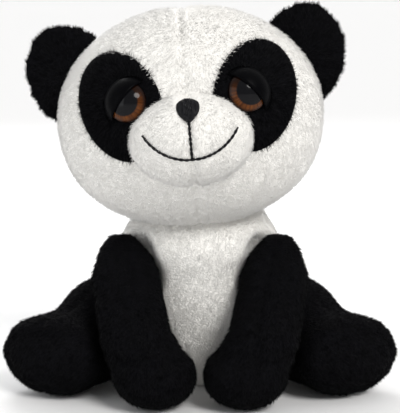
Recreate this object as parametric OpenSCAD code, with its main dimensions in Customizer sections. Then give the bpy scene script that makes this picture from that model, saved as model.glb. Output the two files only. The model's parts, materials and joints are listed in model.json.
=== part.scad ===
// Seated plush panda, about 20 cm tall: sewn plush skins over loose fibre, plastic eyes, embroidered nose and mouth.
// The panda sits on the plane z = 0 and faces -Y. +X is the panda's own left.

/* [Fabric] */
// Thickness of a plush skin
skin_t = 1.6; // [1:0.1:2.4]
// Space between a skin and what it covers
layer_gap = 0.25; // [0.2:0.05:0.6]
// Space between the cut edges of two panels at their seam
seam_gap = 0.3; // [0.2:0.1:0.8]
// Space kept between parts that move past each other
move_gap = 0.5; // [0.4:0.1:1]

/* [Head] */
// Width of the head
head_w = 138; // [112:1:168]
// Depth of the head, back to face, without the muzzle
head_d = 106; // [86:1:128]
// Height of the head
head_h = 115; // [94:1:140]
// How far the middle of the head lies in front of the middle of the seat
head_forward = 8; // [3:1:13]
// Sideways tilt of the head towards the panda's right, in degrees
head_roll = 5; // [0:1:8]
// How far the side seam lies behind the middle of the head
side_seam_back = 6; // [0:1:15]

/* [Muzzle] */
// Width of the muzzle
muzzle_w = 63; // [52:1:74]
// Height of the muzzle
muzzle_h = 48; // [40:1:56]
// Depth of the rounded form of the muzzle, most of it inside the face
muzzle_d = 50; // [42:1:60]
// How far the muzzle stands out of the face
muzzle_out = 15; // [8:1:20]
// How far the middle of the muzzle lies below the middle of the head
muzzle_drop = 6.5; // [2:0.5:12]

/* [Nose and mouth] */
// Width of the embroidered nose
nose_w = 13; // [9:0.5:16]
// Height of the embroidered nose
nose_h = 12.5; // [9:0.5:15]
// Height of the middle of the nose above the middle of the head
nose_up = 10.5; // [8:0.5:13]
// Width of the smile, end to end
smile_w = 46; // [36:1:52]
// How far the ends of the smile rise above its middle
smile_rise = 12.5; // [8:0.5:16]
// Width of the stitched lines of the mouth
stitch_w = 1.4; // [1:0.1:2.4]
// How far the embroidery stands up from the plush
thread_t = 1.2; // [0.8:0.1:2]

/* [Eye patches] */
// Width of a black eye patch
patch_w = 41; // [34:1:48]
// Height of a black eye patch
patch_h = 54; // [46:1:62]
// Distance from the middle of the face to the middle of a patch
patch_x = 32.5; // [30:0.5:38]
// Height of the middle of a patch above the middle of the head
patch_up = 11; // [6:1:16]
// Lean of a patch, its top towards the middle, in degrees
patch_lean = 16; // [0:1:25]

/* [Eyes] */
// Diameter of the clear eye dome
eye_d = 19.5; // [14:0.5:22]
// Height of the clear eye dome
eye_h = 5; // [3.5:0.5:7]
// Distance between the middles of the eyes
eye_gap = 57.5; // [50:0.5:66]
// Height of the eyes above the middle of the head
eye_up = 13.5; // [8:0.5:18]
// Outward turn of each eye, in degrees
eye_splay = 18; // [10:1:24]
// Upward tilt of each eye, in degrees
eye_tilt = 10; // [4:1:16]
// Thickness of an eyelid
lid_t = 0.9; // [0.6:0.1:1.5]
// Diameter of the stem behind an eye
stem_d = 4; // [3:0.5:5]
// Length of the stem behind an eye
stem_l = 11; // [9:0.5:14]
// Diameter of the lock washer on the stem
washer_d = 15; // [12:0.5:17]

/* [Ears] */
// Width of an ear, most of which shows
ear_w = 47; // [39:1:56]
// Height of an ear
ear_h = 58; // [48:1:68]
// Thickness of an ear at its middle
ear_t = 11; // [9:0.5:13]
// Place of an ear round the head, in degrees above level
ear_angle = 27; // [20:1:34]
// Lean of an ear, its top towards the middle, in degrees
ear_lean = 20; // [10:1:30]

/* [Torso] */
// Height of the torso from the seat to the neck
torso_h = 84; // [70:1:101]
// Width of the torso
torso_w = 94; // [79:1:113]
// Depth of the torso
torso_d = 72; // [60:1:87]
// Height of the rounded form that the seat and the head's underside cut flat and hollow
torso_round = 132; // [118:1:150]
// Height of the middle of the torso's rounded form above the seat
torso_mid = 46; // [40:1:52]
// Diameter of the firm neck stuffing
neck_d = 30; // [24:1:34]

/* [Arms] */
// Width of an arm
arm_w = 36.5; // [30:0.5:42]
// Depth of an arm
arm_d = 25; // [20:0.5:30]
// How far the middle of an arm lies in front of the belly
arm_out = 6;      // [3:0.5:9]
// Length of the tapered form of an arm
arm_l = 62;       // [54:1:70]
// Diameter of the forearm
forearm_d = 36; // [30:0.5:41]
// Width of a paw
paw_w = 43; // [34:0.5:45]
// Depth of a paw
paw_d = 40; // [34:0.5:46]
// Height of a paw
paw_h = 32.5; // [28:0.5:38]
// Half of the space between the two paws
paw_part = 0.8; // [0.5:0.1:6]
// Height of the seam between an arm and its paw
paw_seam_z = 28; // [22:1:34]

/* [Legs] */
// Diameter of a thigh
thigh_d = 55; // [46:1:64]
// How far the hip lies outside the torso's side
hip_out = 1; // [0:1:8]
// How far the hip lies in front of the middle of the seat
hip_forward = 6; // [2:1:10]
// Distance from the hip to the middle of the foot
leg_reach = 41; // [36:1:50]
// Direction of a leg, in degrees forward of straight sideways
leg_forward = 49; // [42:1:54]
// Diameter of the ankle
ankle_d = 42; // [34:1:48]
// Width of a foot
foot_w = 59; // [50:1:66]
// Thickness of a foot, heel to sole
foot_t = 35; // [28:1:42]
// Height of a foot
foot_h = 42; // [34:1:48]
// Outward turn of a sole, in degrees
sole_turn = 30; // [20:1:40]
// Distance from the middle of a foot to the plane of its sole seam
sole_out = 13.5; // [9:0.5:14]

/* [Stitches, label and filling] */
// Diameter of the closing thread
thread_d = 0.8; // [0.5:0.1:1.2]
// Length of a closing stitch across the back seam
stitch_l = 6; // [3:0.5:8]
// Number of closing stitches down the back
back_stitches = 6; // [3:1:9]
// Width of the sewn-in label
label_w = 14; // [10:1:20]
// Length of the sewn-in label outside the seam
label_l = 13; // [8:1:18]
// Thickness of the folded label
label_t = 0.6; // [0.4:0.1:1]
// Width of the pellet pouch
pouch_w = 30; // [22:1:32]
// Depth of the pellet pouch
pouch_d = 40; // [30:1:44]
// Height of the pellet pouch
pouch_h = 18; // [14:1:22]
// Thickness of the pouch's cloth
pouch_t = 0.8; // [0.5:0.1:1.2]

/* [Hidden] */
$fn = 96;

LEFT = 1;
RIGHT = -1;
FAR = 200;
POLES_X = [0, 90, 0];
POLES_Y = [90, 0, 0];
WHITE = [0.95, 0.94, 0.91];
BLACK = [0.06, 0.06, 0.07];
FIBRE = [0.90, 0.90, 0.88];

floor_gap = 0.1;                            // feet and paws clear the plane of the seat by this much
torso_size = [torso_w, torso_d, torso_round];
head_travel = 8;                            // room for the head's underside to dip as it nods
neck_y = -5;
neck_z = torso_h + 1;
neck_flat = 1;                              // the head's flat neck opening lies this far above the neck's centre
head_sink = 1.5;                            // the head's full round would reach this far below the neck's centre
head_rise = head_h / 2 - head_sink;
muzzle_y = -(head_d / 2 + muzzle_out - muzzle_d / 2);
smile_z = nose_up - 24.8;
smile_r = (pow(smile_w / 2, 2) + pow(smile_rise, 2)) / (2 * smile_rise);

eye_lift = 0.5;                             // the eye's back plate stands this far off the plush
eye_plate_t = 1.2;
iris_t = 0.5;
lens_z = eye_lift + eye_plate_t + iris_t + 0.1;
lens_r = (pow(eye_d / 2, 2) + pow(eye_h, 2)) / (2 * eye_h);
washer_z = -skin_t - 2.2;
washer_t = 1.2;
rib_t = 0.8;
lid_gap = 0.3;
lid_turn = 50;                              // the lid's edge slants this much: it droops on the outer side

ear_seat = 0.96;                            // share of the head's radius at which the ear's middle lies
ear_gap = 2.5;                              // room for the ear's base to tip either way as it folds
ear_base = ear_gap + skin_t + (1 - ear_seat) * head_w / 2;

arm_x = torso_w / 2 - 10.5;
arm_y = 3.5 - torso_d / 2 - arm_out;
arm_z = torso_h - 28.3;
arm_lean = 38.6;                            // how far the upper arm leans forward as it comes down
arm_turn = 15.5;                            // and how far that lean turns in, so that the paws meet
arm_up = [sin(arm_lean) * sin(arm_turn), sin(arm_lean) * cos(arm_turn), cos(arm_lean)];
shoulder = [arm_x, arm_y, arm_z] + (arm_l / 2 - 11) * arm_up;
forearm = [arm_x, arm_y, arm_z] - 17.1 * [sin(arm_turn), cos(arm_turn), 0] - [0, 0, 21.2];
paw = [paw_w / 2 + paw_part, arm_y - 20.5, paw_h / 2 + floor_gap];
arm_notch_r = 16;
arm_room = 2.5;                             // room round the upper arm where it lies against the belly
arm_notch_x = shoulder[0] - 18.5;

hip = [torso_w / 2 + hip_out, -hip_forward, thigh_d / 2 + 1];
leg_dir = [cos(leg_forward), -sin(leg_forward), 0];
ankle = [hip[0], hip[1], ankle_d / 2 + floor_gap] + 0.54 * leg_reach * leg_dir;
foot = [hip[0], hip[1], foot_h / 2 + floor_gap] + leg_reach * leg_dir;

pouch_z = skin_t + 2 * layer_gap + pouch_h / 2 + 2;
pouch_y = 4;
label_x = -13;

function sided(p, side) = [side * p[0], p[1], p[2]];
// y of the front of an ellipsoid of size d, where the place across and up is (x, z) from its middle
function front_y(d, x, z) = -d[1] / 2 * sqrt(1 - pow(2 * x / d[0], 2) - pow(2 * z / d[2], 2));
function grow(d, t) = [for (v = d) v + 2 * t];

// poles turns the sphere before it is stretched, which keeps its poles away from the planes that split it
module ellipsoid(d, poles = [0, 0, 0]) {
    scale([d[0] / 2, d[1] / 2, d[2] / 2]) rotate(poles) sphere(r = 1);
}

module ellipsoid_shell(d, t, poles = [0, 0, 0]) {
    difference() {
        ellipsoid(d, poles);
        ellipsoid(grow(d, -t), poles);
    }
}

// A left-hand piece, or its mirror image for the right
module on_side(side) {
    mirror([side > 0 ? 0 : 1, 0, 0]) children();
}

// All space on one side of the middle plane, clear of the seam
module half_space(side) {
    translate([side > 0 ? seam_gap / 2 : -FAR - seam_gap / 2, -FAR / 2, -FAR / 2]) cube([FAR, FAR, FAR]);
}

module front_space(y) {
    translate([-FAR / 2, y - FAR - seam_gap / 2, -FAR / 2]) cube([FAR, FAR, FAR]);
}

module back_space(y) {
    translate([-FAR / 2, y + seam_gap / 2, -FAR / 2]) cube([FAR, FAR, FAR]);
}

module space_above(z) {
    translate([-FAR / 2, -FAR / 2, z]) cube([FAR, FAR, FAR]);
}

module space_below(z) {
    translate([-FAR / 2, -FAR / 2, z - FAR]) cube([FAR, FAR, FAR]);
}

// ---- Head: modelled about its own middle, then set on the neck ----

head_size = [head_w, head_d, head_h];
muzzle_size = [muzzle_w, muzzle_d, muzzle_h];

module on_neck() {
    translate([0, neck_y, neck_z]) rotate([0, -head_roll, 0])
        translate([0, -neck_y - head_forward, head_rise]) children();
}

module at_muzzle() {
    translate([0, muzzle_y, -muzzle_drop]) children();
}

module neck_opening() {
    translate([0, neck_y + head_forward, -head_rise]) sphere(d = neck_d + 2 * move_gap);
    space_below(neck_flat - head_rise);
}

// The upright oval column that cuts one eye patch out of the face
module patch_column(side, gap) {
    translate([side * patch_x, 0, patch_up]) rotate([0, -side * patch_lean, 0]) rotate([90, 0, 0])
        scale([patch_w / 2 + gap, patch_h / 2 + gap, 1]) cylinder(r = 1, h = FAR);
}

module on_eye(side) {
    translate([side * eye_gap / 2, front_y(head_size, eye_gap / 2, eye_up), eye_up])
        rotate([90 - eye_tilt, 0, side * eye_splay]) children();
}

module face(side) {
    color(WHITE) on_neck() on_side(side) difference() {
        intersection() {
            ellipsoid_shell(head_size, skin_t);
            half_space(LEFT);
            front_space(side_seam_back);
        }
        at_muzzle() ellipsoid(grow(muzzle_size, seam_gap));
        patch_column(LEFT, seam_gap);
        neck_opening();
    }
}

module head_back(side) {
    color(WHITE) on_neck() on_side(side) difference() {
        intersection() {
            ellipsoid_shell(head_size, skin_t);
            half_space(LEFT);
            back_space(side_seam_back);
        }
        neck_opening();
    }
}

module muzzle(side) {
    color(WHITE) on_neck() difference() {
        intersection() {
            at_muzzle() ellipsoid_shell(muzzle_size, skin_t);
            half_space(side);
        }
        ellipsoid(grow(head_size, -skin_t));
        on_eye(side) translate([0, 0, eye_lift - layer_gap]) cylinder(d = eye_d + 2 * layer_gap, h = FAR);
    }
}

module eye_patch(side) {
    color(BLACK) on_neck() difference() {
        intersection() {
            ellipsoid_shell(head_size, skin_t, POLES_Y);
            patch_column(side, 0);
        }
        at_muzzle() ellipsoid(grow(muzzle_size, seam_gap));
        on_eye(side) translate([0, 0, -FAR / 4]) cylinder(d = stem_d + 2 * layer_gap, h = FAR / 2);
    }
}

// The layer over the muzzle in which the embroidery lies
module thread_layer() {
    at_muzzle() difference() {
        ellipsoid(grow(muzzle_size, layer_gap + thread_t));
        ellipsoid(grow(muzzle_size, layer_gap));
        translate([-FAR / 2, 0, -FAR / 2]) cube([FAR, FAR, FAR]);
    }
}

module nose() {
    outline = [[-0.5, 0.15], [-0.44, 0.38], [-0.2, 0.49], [0.2, 0.49], [0.44, 0.38], [0.5, 0.15],
        [0.32, -0.22], [0.08, -0.5], [-0.08, -0.5], [-0.32, -0.22]];
    color(BLACK) on_neck() intersection() {
        thread_layer();
        translate([0, 0, nose_up]) rotate([90, 0, 0]) linear_extrude(height = FAR)
            polygon([for (p = outline) [p[0] * nose_w, p[1] * nose_h]]);
    }
}

module mouth() {
    upright = nose_up - nose_h / 2 - seam_gap - smile_z;
    color(BLACK) on_neck() intersection() {
        thread_layer();
        union() {
            translate([-stitch_w / 2, -FAR, smile_z]) cube([stitch_w, FAR, upright]);
            intersection() {
                translate([0, 0, smile_z + smile_r]) rotate([90, 0, 0]) difference() {
                    cylinder(r = smile_r + stitch_w / 2, h = FAR);
                    translate([0, 0, -1]) cylinder(r = smile_r - stitch_w / 2, h = FAR + 2);
                }
                translate([-FAR / 2, -FAR, smile_z - stitch_w]) cube([FAR, FAR, smile_rise + stitch_w]);
            }
        }
    }
}

module head_stuffing() {
    color(FIBRE) on_neck() difference() {
        union() {
            ellipsoid(grow(head_size, -skin_t - layer_gap));
            at_muzzle() ellipsoid(grow(muzzle_size, -skin_t - layer_gap));
        }
        for (side = [RIGHT, LEFT])
            on_eye(side) translate([0, 0, -stem_l - 1.5]) cylinder(d = washer_d + 4 * layer_gap, h = FAR);
        neck_opening();
    }
}

// ---- Eyes: each stands on its patch and is held by a washer on its stem ----

module eye_lens(side) {
    color([0.85, 0.85, 0.88, 0.4]) on_neck() on_eye(side) intersection() {
        translate([0, 0, lens_z + eye_h - lens_r]) sphere(r = lens_r);
        space_above(lens_z);
    }
}

module eye_iris(side) {
    color([0.24, 0.10, 0.04]) on_neck() on_eye(side)
        translate([0, 0, lens_z - 0.1 - iris_t]) cylinder(d = eye_d - 0.4, h = iris_t);
}

module eye_back(side) {
    color(BLACK) on_neck() on_eye(side) {
        translate([0, 0, eye_lift]) cylinder(d = eye_d - 0.2, h = eye_plate_t - 0.1);
        translate([0, 0, -stem_l]) cylinder(d = stem_d - 0.8, h = stem_l + eye_lift + 0.1);
        for (k = [0 : 3])
            translate([0, 0, -stem_l + 0.5 + k * 2 * rib_t]) cylinder(d = stem_d, h = rib_t);
    }
}

module eye_washer(side) {
    color([0.9, 0.9, 0.9]) on_neck() on_eye(side) translate([0, 0, washer_z - washer_t]) difference() {
        cylinder(d = washer_d, h = washer_t);
        translate([0, 0, -1]) cylinder(d = stem_d + 0.1, h = washer_t + 2);
    }
}

module eyelid(side) {
    color(BLACK) on_neck() on_eye(side) difference() {
        translate([0, 0, lens_z + eye_h - lens_r]) difference() {
            sphere(r = lens_r + lid_gap + lid_t);
            sphere(r = lens_r + lid_gap);
        }
        space_below(lens_z - 0.6);
        rotate([0, 0, -side * lid_turn]) translate([-FAR / 2, 0.1 * eye_d - FAR, -FAR / 2]) cube([FAR, FAR, FAR]);
    }
}

// ---- Ears: flat stuffed crescents on the side seam, each folding about the line where it meets the head ----

ear_size = [ear_w, ear_t, ear_h];

module on_ear(side) {
    translate([side * ear_seat * head_w / 2 * cos(ear_angle), side_seam_back, ear_seat * head_h / 2 * sin(ear_angle)])
        rotate([0, -side * ear_lean, 0]) children();
}

module ear_half(side, back) {
    color(BLACK) on_neck() difference() {
        on_ear(side) intersection() {
            ellipsoid_shell(ear_size, skin_t, POLES_Y);
            if (back) back_space(0); else front_space(0);
        }
        ellipsoid(grow(head_size, ear_gap));
    }
}

module ear_stuffing(side) {
    color(FIBRE) on_neck() on_side(side) on_ear(LEFT) difference() {
        ellipsoid(grow(ear_size, -skin_t - layer_gap));
        rotate([0, 90 - ear_angle + ear_lean, 0]) space_below(ear_base);
    }
}

// ---- Neck: firm fibre packed through the opening, drawn in by the seam thread ----

module neck_stuffing() {
    color(FIBRE) translate([0, neck_y, neck_z]) difference() {
        sphere(d = neck_d);
        rotate_extrude() translate([neck_d / 2 - 0.2, -1.2]) circle(d = thread_d + 2 * layer_gap);
    }
}

module neck_thread() {
    color([0.93, 0.92, 0.9]) translate([0, neck_y, neck_z - 1.2])
        rotate_extrude() translate([neck_d / 2 - 0.2 - layer_gap / 2, 0]) circle(d = thread_d);
}

// ---- Torso: a barrel with a flat seat, hollowed under the head, with round seats for the limbs and the neck ----

module torso_form(inset) {
    difference() {
        translate([0, 0, torso_mid]) ellipsoid(grow(torso_size, -inset));
        space_below(inset);
        on_neck() ellipsoid(grow(head_size, head_travel + inset));
    }
}

module limb_seats() {
    translate([0, neck_y, neck_z]) sphere(d = neck_d + 2 * move_gap);
    for (side = [RIGHT, LEFT]) {
        translate(sided(hip, side)) sphere(d = thigh_d + 2 * move_gap);
        translate(sided([arm_x, arm_y, arm_z], side)) sphere(d = arm_w + 2 * arm_room);
        translate(sided([arm_notch_x, shoulder[1], shoulder[2]], side)) rotate([0, side * 90, 0])
            cylinder(r = arm_notch_r, h = FAR);
    }
}

module torso_skin() {
    difference() {
        torso_form(0);
        torso_form(skin_t);
        space_below(skin_t + seam_gap);
        limb_seats();
    }
}

module belly_panel() {
    color(WHITE) intersection() {
        torso_skin();
        front_space(0);
    }
}

module back_panel(side) {
    color(WHITE) intersection() {
        torso_skin();
        back_space(0);
        half_space(side);
    }
}

module seat_panel() {
    color(WHITE) difference() {
        translate([0, 0, torso_mid]) ellipsoid(torso_size);
        space_below(0);
        space_above(skin_t);
        limb_seats();
    }
}

module pouch_form(inset) {
    translate([0, pouch_y, pouch_z]) ellipsoid(grow([pouch_w, pouch_d, pouch_h], -inset));
}

module torso_stuffing() {
    color(FIBRE) difference() {
        torso_form(skin_t + layer_gap);
        pouch_form(-layer_gap);
        limb_seats();
    }
}

module pellet_pouch() {
    color([0.85, 0.85, 0.82]) difference() {
        pouch_form(0);
        pouch_form(pouch_t);
    }
}

module pellets() {
    color([0.75, 0.78, 0.8]) pouch_form(pouch_t + layer_gap);
}

module closing_stitches() {
    step = 0.3 * torso_h / back_stitches;
    color(WHITE) for (k = [0 : back_stitches - 1]) {
        z = torso_mid + step * (k - (back_stitches - 1) / 2);
        back_y = -front_y(torso_size, 0, z - torso_mid);
        translate([-stitch_l / 2, back_y + thread_d / 2 + layer_gap, z])
            rotate([0, 90, 0]) cylinder(d = thread_d, h = stitch_l);
    }
}

module label() {
    back_y = -front_y(torso_size, label_x + label_w / 2, 1 - torso_mid);
    color([0.92, 0.92, 0.9]) translate([label_x - label_w / 2, back_y + layer_gap, floor_gap + layer_gap])
        cube([label_w, label_l, label_t]);
}

// ---- Arms: a tapered upper arm, a round forearm and a broad paw that rests on the ground ----

module arm_form(side, inset) {
    translate(sided([arm_x, arm_y, arm_z], side)) rotate([-arm_lean, 0, -side * arm_turn])
        ellipsoid(grow([arm_w, arm_d, arm_l], -inset), POLES_X);
    translate(sided(forearm, side)) sphere(d = forearm_d - 2 * inset);
    translate(sided(paw, side)) ellipsoid(grow([paw_w, paw_d, paw_h], -inset));
}

module arm_skin(side) {
    difference() {
        arm_form(side, 0);
        arm_form(side, skin_t);
    }
}

// Space inside (nearer the middle) or outside the arm's panel seams
module arm_side(side, outer) {
    translate(sided([arm_x, arm_y, arm_z], side)) rotate([0, 0, -side * arm_turn])
        half_space(outer ? side : -side);
}

module arm_panel(side, outer) {
    color(BLACK) intersection() {
        arm_skin(side);
        arm_side(side, outer);
        space_above(paw_seam_z + seam_gap / 2);
    }
}

module paw_panel(side) {
    color(BLACK) intersection() {
        arm_skin(side);
        space_below(paw_seam_z - seam_gap / 2);
    }
}

module arm_stuffing(side) {
    color(FIBRE) arm_form(side, skin_t + layer_gap);
}

// ---- Legs: thigh, ankle and a broad foot with its sole turned forward and out ----

module on_foot(side) {
    translate(sided(foot, side)) rotate([0, 0, side * sole_turn]) children();
}

module leg_form(side, inset) {
    translate(sided(hip, side)) rotate(POLES_Y) sphere(d = thigh_d - 2 * inset);
    translate(sided(ankle, side)) rotate(POLES_Y) sphere(d = ankle_d - 2 * inset);
}

module foot_form(side, inset) {
    on_foot(side) ellipsoid(grow([foot_w, foot_t, foot_h], -inset), POLES_Y);
}

module leg_skin(side) {
    difference() {
        leg_form(side, 0);
        leg_form(side, skin_t);
        foot_form(side, skin_t);
    }
    difference() {
        foot_form(side, 0);
        foot_form(side, skin_t);
        leg_form(side, skin_t);
    }
}

module leg_panel(side, outer) {
    color(BLACK) difference() {
        intersection() {
            leg_skin(side);
            translate(sided(hip, side)) rotate([0, 0, side * (90 - leg_forward)]) half_space(outer ? side : -side);
        }
        on_foot(side) front_space(-sole_out + seam_gap);
    }
}

module foot_sole(side) {
    color(BLACK) intersection() {
        leg_skin(side);
        on_foot(side) front_space(-sole_out);
    }
}

module leg_stuffing(side) {
    color(FIBRE) {
        leg_form(side, skin_t + layer_gap);
        foot_form(side, skin_t + layer_gap);
    }
}

face(LEFT);  // face_left
face(RIGHT);  // face_right
head_back(LEFT);  // head_back_left
head_back(RIGHT);  // head_back_right
muzzle(LEFT);  // muzzle_left
muzzle(RIGHT);  // muzzle_right
eye_patch(LEFT);  // eye_patch_left
eye_patch(RIGHT);  // eye_patch_right
nose();
mouth();
head_stuffing();
eye_lens(LEFT);  // eye_lens_left
eye_lens(RIGHT);  // eye_lens_right
eye_iris(LEFT);  // eye_iris_left
eye_iris(RIGHT);  // eye_iris_right
eye_back(LEFT);  // eye_back_left
eye_back(RIGHT);  // eye_back_right
eye_washer(LEFT);  // eye_washer_left
eye_washer(RIGHT);  // eye_washer_right
eyelid(LEFT);  // eyelid_left
eyelid(RIGHT);  // eyelid_right
ear_half(LEFT, false);  // ear_front_left
ear_half(RIGHT, false);  // ear_front_right
ear_half(LEFT, true);  // ear_back_left
ear_half(RIGHT, true);  // ear_back_right
ear_stuffing(LEFT);  // ear_stuffing_left
ear_stuffing(RIGHT);  // ear_stuffing_right
neck_stuffing();
neck_thread();
belly_panel();
back_panel(LEFT);  // back_left
back_panel(RIGHT);  // back_right
seat_panel();
torso_stuffing();
pellet_pouch();
pellets();
closing_stitches();
label();
arm_panel(LEFT, false);  // arm_inner_left
arm_panel(RIGHT, false);  // arm_inner_right
arm_panel(LEFT, true);  // arm_outer_left
arm_panel(RIGHT, true);  // arm_outer_right
paw_panel(LEFT);  // paw_left
paw_panel(RIGHT);  // paw_right
arm_stuffing(LEFT);  // arm_stuffing_left
arm_stuffing(RIGHT);  // arm_stuffing_right
leg_panel(LEFT, false);  // leg_inner_left
leg_panel(RIGHT, false);  // leg_inner_right
leg_panel(LEFT, true);  // leg_outer_left
leg_panel(RIGHT, true);  // leg_outer_right
foot_sole(LEFT);  // foot_sole_left
foot_sole(RIGHT);  // foot_sole_right
leg_stuffing(LEFT);  // leg_stuffing_left
leg_stuffing(RIGHT);  // leg_stuffing_right
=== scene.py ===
"""The looks of a sitting plush panda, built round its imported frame.

Lengths inside the classes are in millimetres, in the frame's own axes, and become metres when a mesh is made.
Each stuffed form is remeshed from a few round blobs, filled out by a short cloth simulation with its seams held,
then dressed in short pile, one closed spike of yarn at a time.
"""

import json
import logging
import math
from collections.abc import Callable, Sequence
from dataclasses import dataclass, field
from enum import Enum

import bpy
import bmesh
import numpy as np
from mathutils import Matrix, Vector
from mathutils.bvhtree import BVHTree


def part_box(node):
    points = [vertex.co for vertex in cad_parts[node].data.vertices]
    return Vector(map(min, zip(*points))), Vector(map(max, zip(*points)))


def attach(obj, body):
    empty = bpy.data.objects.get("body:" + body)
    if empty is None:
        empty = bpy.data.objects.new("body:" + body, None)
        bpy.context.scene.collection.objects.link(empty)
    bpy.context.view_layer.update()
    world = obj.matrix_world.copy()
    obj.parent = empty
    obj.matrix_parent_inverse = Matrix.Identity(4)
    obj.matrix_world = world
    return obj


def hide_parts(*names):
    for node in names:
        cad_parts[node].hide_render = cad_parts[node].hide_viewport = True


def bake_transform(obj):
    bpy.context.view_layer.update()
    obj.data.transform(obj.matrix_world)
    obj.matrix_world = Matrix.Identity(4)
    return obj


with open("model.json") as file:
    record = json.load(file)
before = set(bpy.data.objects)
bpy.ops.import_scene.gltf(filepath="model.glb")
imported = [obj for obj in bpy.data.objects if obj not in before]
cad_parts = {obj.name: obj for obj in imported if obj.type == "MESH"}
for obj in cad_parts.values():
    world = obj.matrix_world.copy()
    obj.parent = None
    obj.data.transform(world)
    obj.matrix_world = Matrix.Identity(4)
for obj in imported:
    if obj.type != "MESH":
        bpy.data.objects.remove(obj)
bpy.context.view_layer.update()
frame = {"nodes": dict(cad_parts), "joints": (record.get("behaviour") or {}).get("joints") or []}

LOG = logging.getLogger("panda")
MM = 0.001
Array = np.ndarray
Colour = tuple[float, float, float]


class Side(Enum):
    """The panda's own left and right, and the sign of x there."""

    LEFT = 1
    RIGHT = -1


# ---------------------------------------------------------------- small geometry helpers


def turn_x(degrees: float) -> Array:
    """The 3x3 turn about x."""
    return np.array(Matrix.Rotation(math.radians(degrees), 3, "X"))


def turn_y(degrees: float) -> Array:
    """The 3x3 turn about y."""
    return np.array(Matrix.Rotation(math.radians(degrees), 3, "Y"))


def turn_z(degrees: float) -> Array:
    """The 3x3 turn about z."""
    return np.array(Matrix.Rotation(math.radians(degrees), 3, "Z"))


def unit(vectors: Array) -> Array:
    """Each row scaled to length one."""
    return vectors / np.maximum(np.linalg.norm(vectors, axis=-1, keepdims=True), 1e-9)


def ease(values: Array, low: float, high: float) -> Array:
    """Smooth rise from 0 at low to 1 at high.

    Args:
        values: The numbers to map.
        low: Where the rise starts.
        high: Where it ends.

    Returns:
        Numbers from 0 to 1.
    """
    t = np.clip((values - low) / (high - low), 0, 1)
    return t * t * (3 - 2 * t)


def bell(values: Array, width: float) -> Array:
    """A smooth bump of height 1 at zero that fades over the given width."""
    return np.exp(-((values / width) ** 2))


@dataclass(frozen=True)
class Place:
    """A position and a turn, from a piece's own axes to the frame's."""

    origin: Array
    turn: Array = field(default_factory=lambda: np.eye(3))

    def out(self, points: Array) -> Array:
        """Own points in the frame's axes."""
        return np.asarray(points, float) @ self.turn.T + self.origin

    def into(self, points: Array) -> Array:
        """Frame points in the piece's own axes."""
        return (np.asarray(points, float) - self.origin) @ self.turn


@dataclass(frozen=True)
class Blob:
    """A stretched ball, one of the round masses that a stuffed form grows from."""

    centre: Array
    radii: Array
    turn: Array = field(default_factory=lambda: np.eye(3))

    def level(self, points: Array, grow: float = 0.0) -> Array:
        """Below 1 inside, above 1 outside.

        Args:
            points: Points in the frame's axes.
            grow: How much larger the blob is taken to be, all round.

        Returns:
            The share of the blob's radius at which each point lies.
        """
        local = (points - self.centre) @ self.turn / (np.asarray(self.radii, float) + grow)
        return np.linalg.norm(local, axis=-1)

    def matrix(self) -> Matrix:
        """The matrix that makes this blob from a unit ball."""
        m = Matrix((self.turn @ np.diag(self.radii)).tolist()).to_4x4()
        m.translation = Vector(self.centre)
        return m


def joint_point(name: str) -> Array:
    """Where a joint of the frame turns, in millimetres."""
    return np.array(next(j for j in frame["joints"] if j["name"] == name)["pos_m"], float) / MM


def box_mm(node: str) -> tuple[Array, Array]:
    """A CAD node's lowest and highest corners, in millimetres."""
    low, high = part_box(node)
    return np.array(low) / MM, np.array(high) / MM


# ---------------------------------------------------------------- meshes


def mesh_piece(name: str, points: Array, faces: Sequence[Sequence[int]], smooth: bool = True) -> bpy.types.Object:
    """A new mesh object from points in millimetres.

    Args:
        name: The piece's name.
        points: Its corners.
        faces: Its faces, as corner numbers.
        smooth: Whether it is shaded smooth.

    Returns:
        The object, linked into the scene.
    """
    mesh = bpy.data.meshes.new(name)
    mesh.from_pydata((np.asarray(points) * MM).tolist(), [], [list(f) for f in faces])
    mesh.update()
    if smooth:
        mesh.polygons.foreach_set("use_smooth", [True] * len(mesh.polygons))
    piece = bpy.data.objects.new(name, mesh)
    bpy.context.scene.collection.objects.link(piece)
    return piece


def triangle_piece(name: str, points: Array, triangles: Array, tint: Array) -> bpy.types.Object:
    """A new mesh object of many triangles, made fast.

    Args:
        name: The piece's name.
        points: Its corners, in millimetres.
        triangles: Three corner numbers a row.
        tint: The material slot number of each triangle.

    Returns:
        The object, linked into the scene.
    """
    mesh = bpy.data.meshes.new(name)
    mesh.vertices.add(len(points))
    mesh.vertices.foreach_set("co", (points * MM).astype(np.float32).ravel())
    mesh.loops.add(triangles.size)
    mesh.loops.foreach_set("vertex_index", triangles.astype(np.int32).ravel())
    mesh.polygons.add(len(triangles))
    mesh.polygons.foreach_set("loop_start", np.arange(0, triangles.size, 3, dtype=np.int32))
    mesh.polygons.foreach_set("use_smooth", np.ones(len(triangles), bool))
    mesh.polygons.foreach_set("material_index", tint.astype(np.int32))
    mesh.update(calc_edges=True)
    piece = bpy.data.objects.new(name, mesh)
    bpy.context.scene.collection.objects.link(piece)
    return piece


def points_of(piece: bpy.types.Object) -> Array:
    """A piece's corners, in millimetres."""
    flat = np.zeros(len(piece.data.vertices) * 3, np.float32)
    piece.data.vertices.foreach_get("co", flat)
    return flat.reshape(-1, 3).astype(float) / MM


def normals_of(piece: bpy.types.Object) -> Array:
    """A piece's outward directions at its corners."""
    flat = np.zeros(len(piece.data.vertices) * 3, np.float32)
    piece.data.vertices.foreach_get("normal", flat)
    return flat.reshape(-1, 3).astype(float)


def move_points(piece: bpy.types.Object, points: Array) -> None:
    """Puts a piece's corners at these points, in millimetres."""
    piece.data.vertices.foreach_set("co", (points * MM).astype(np.float32).ravel())
    piece.data.update()


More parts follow.
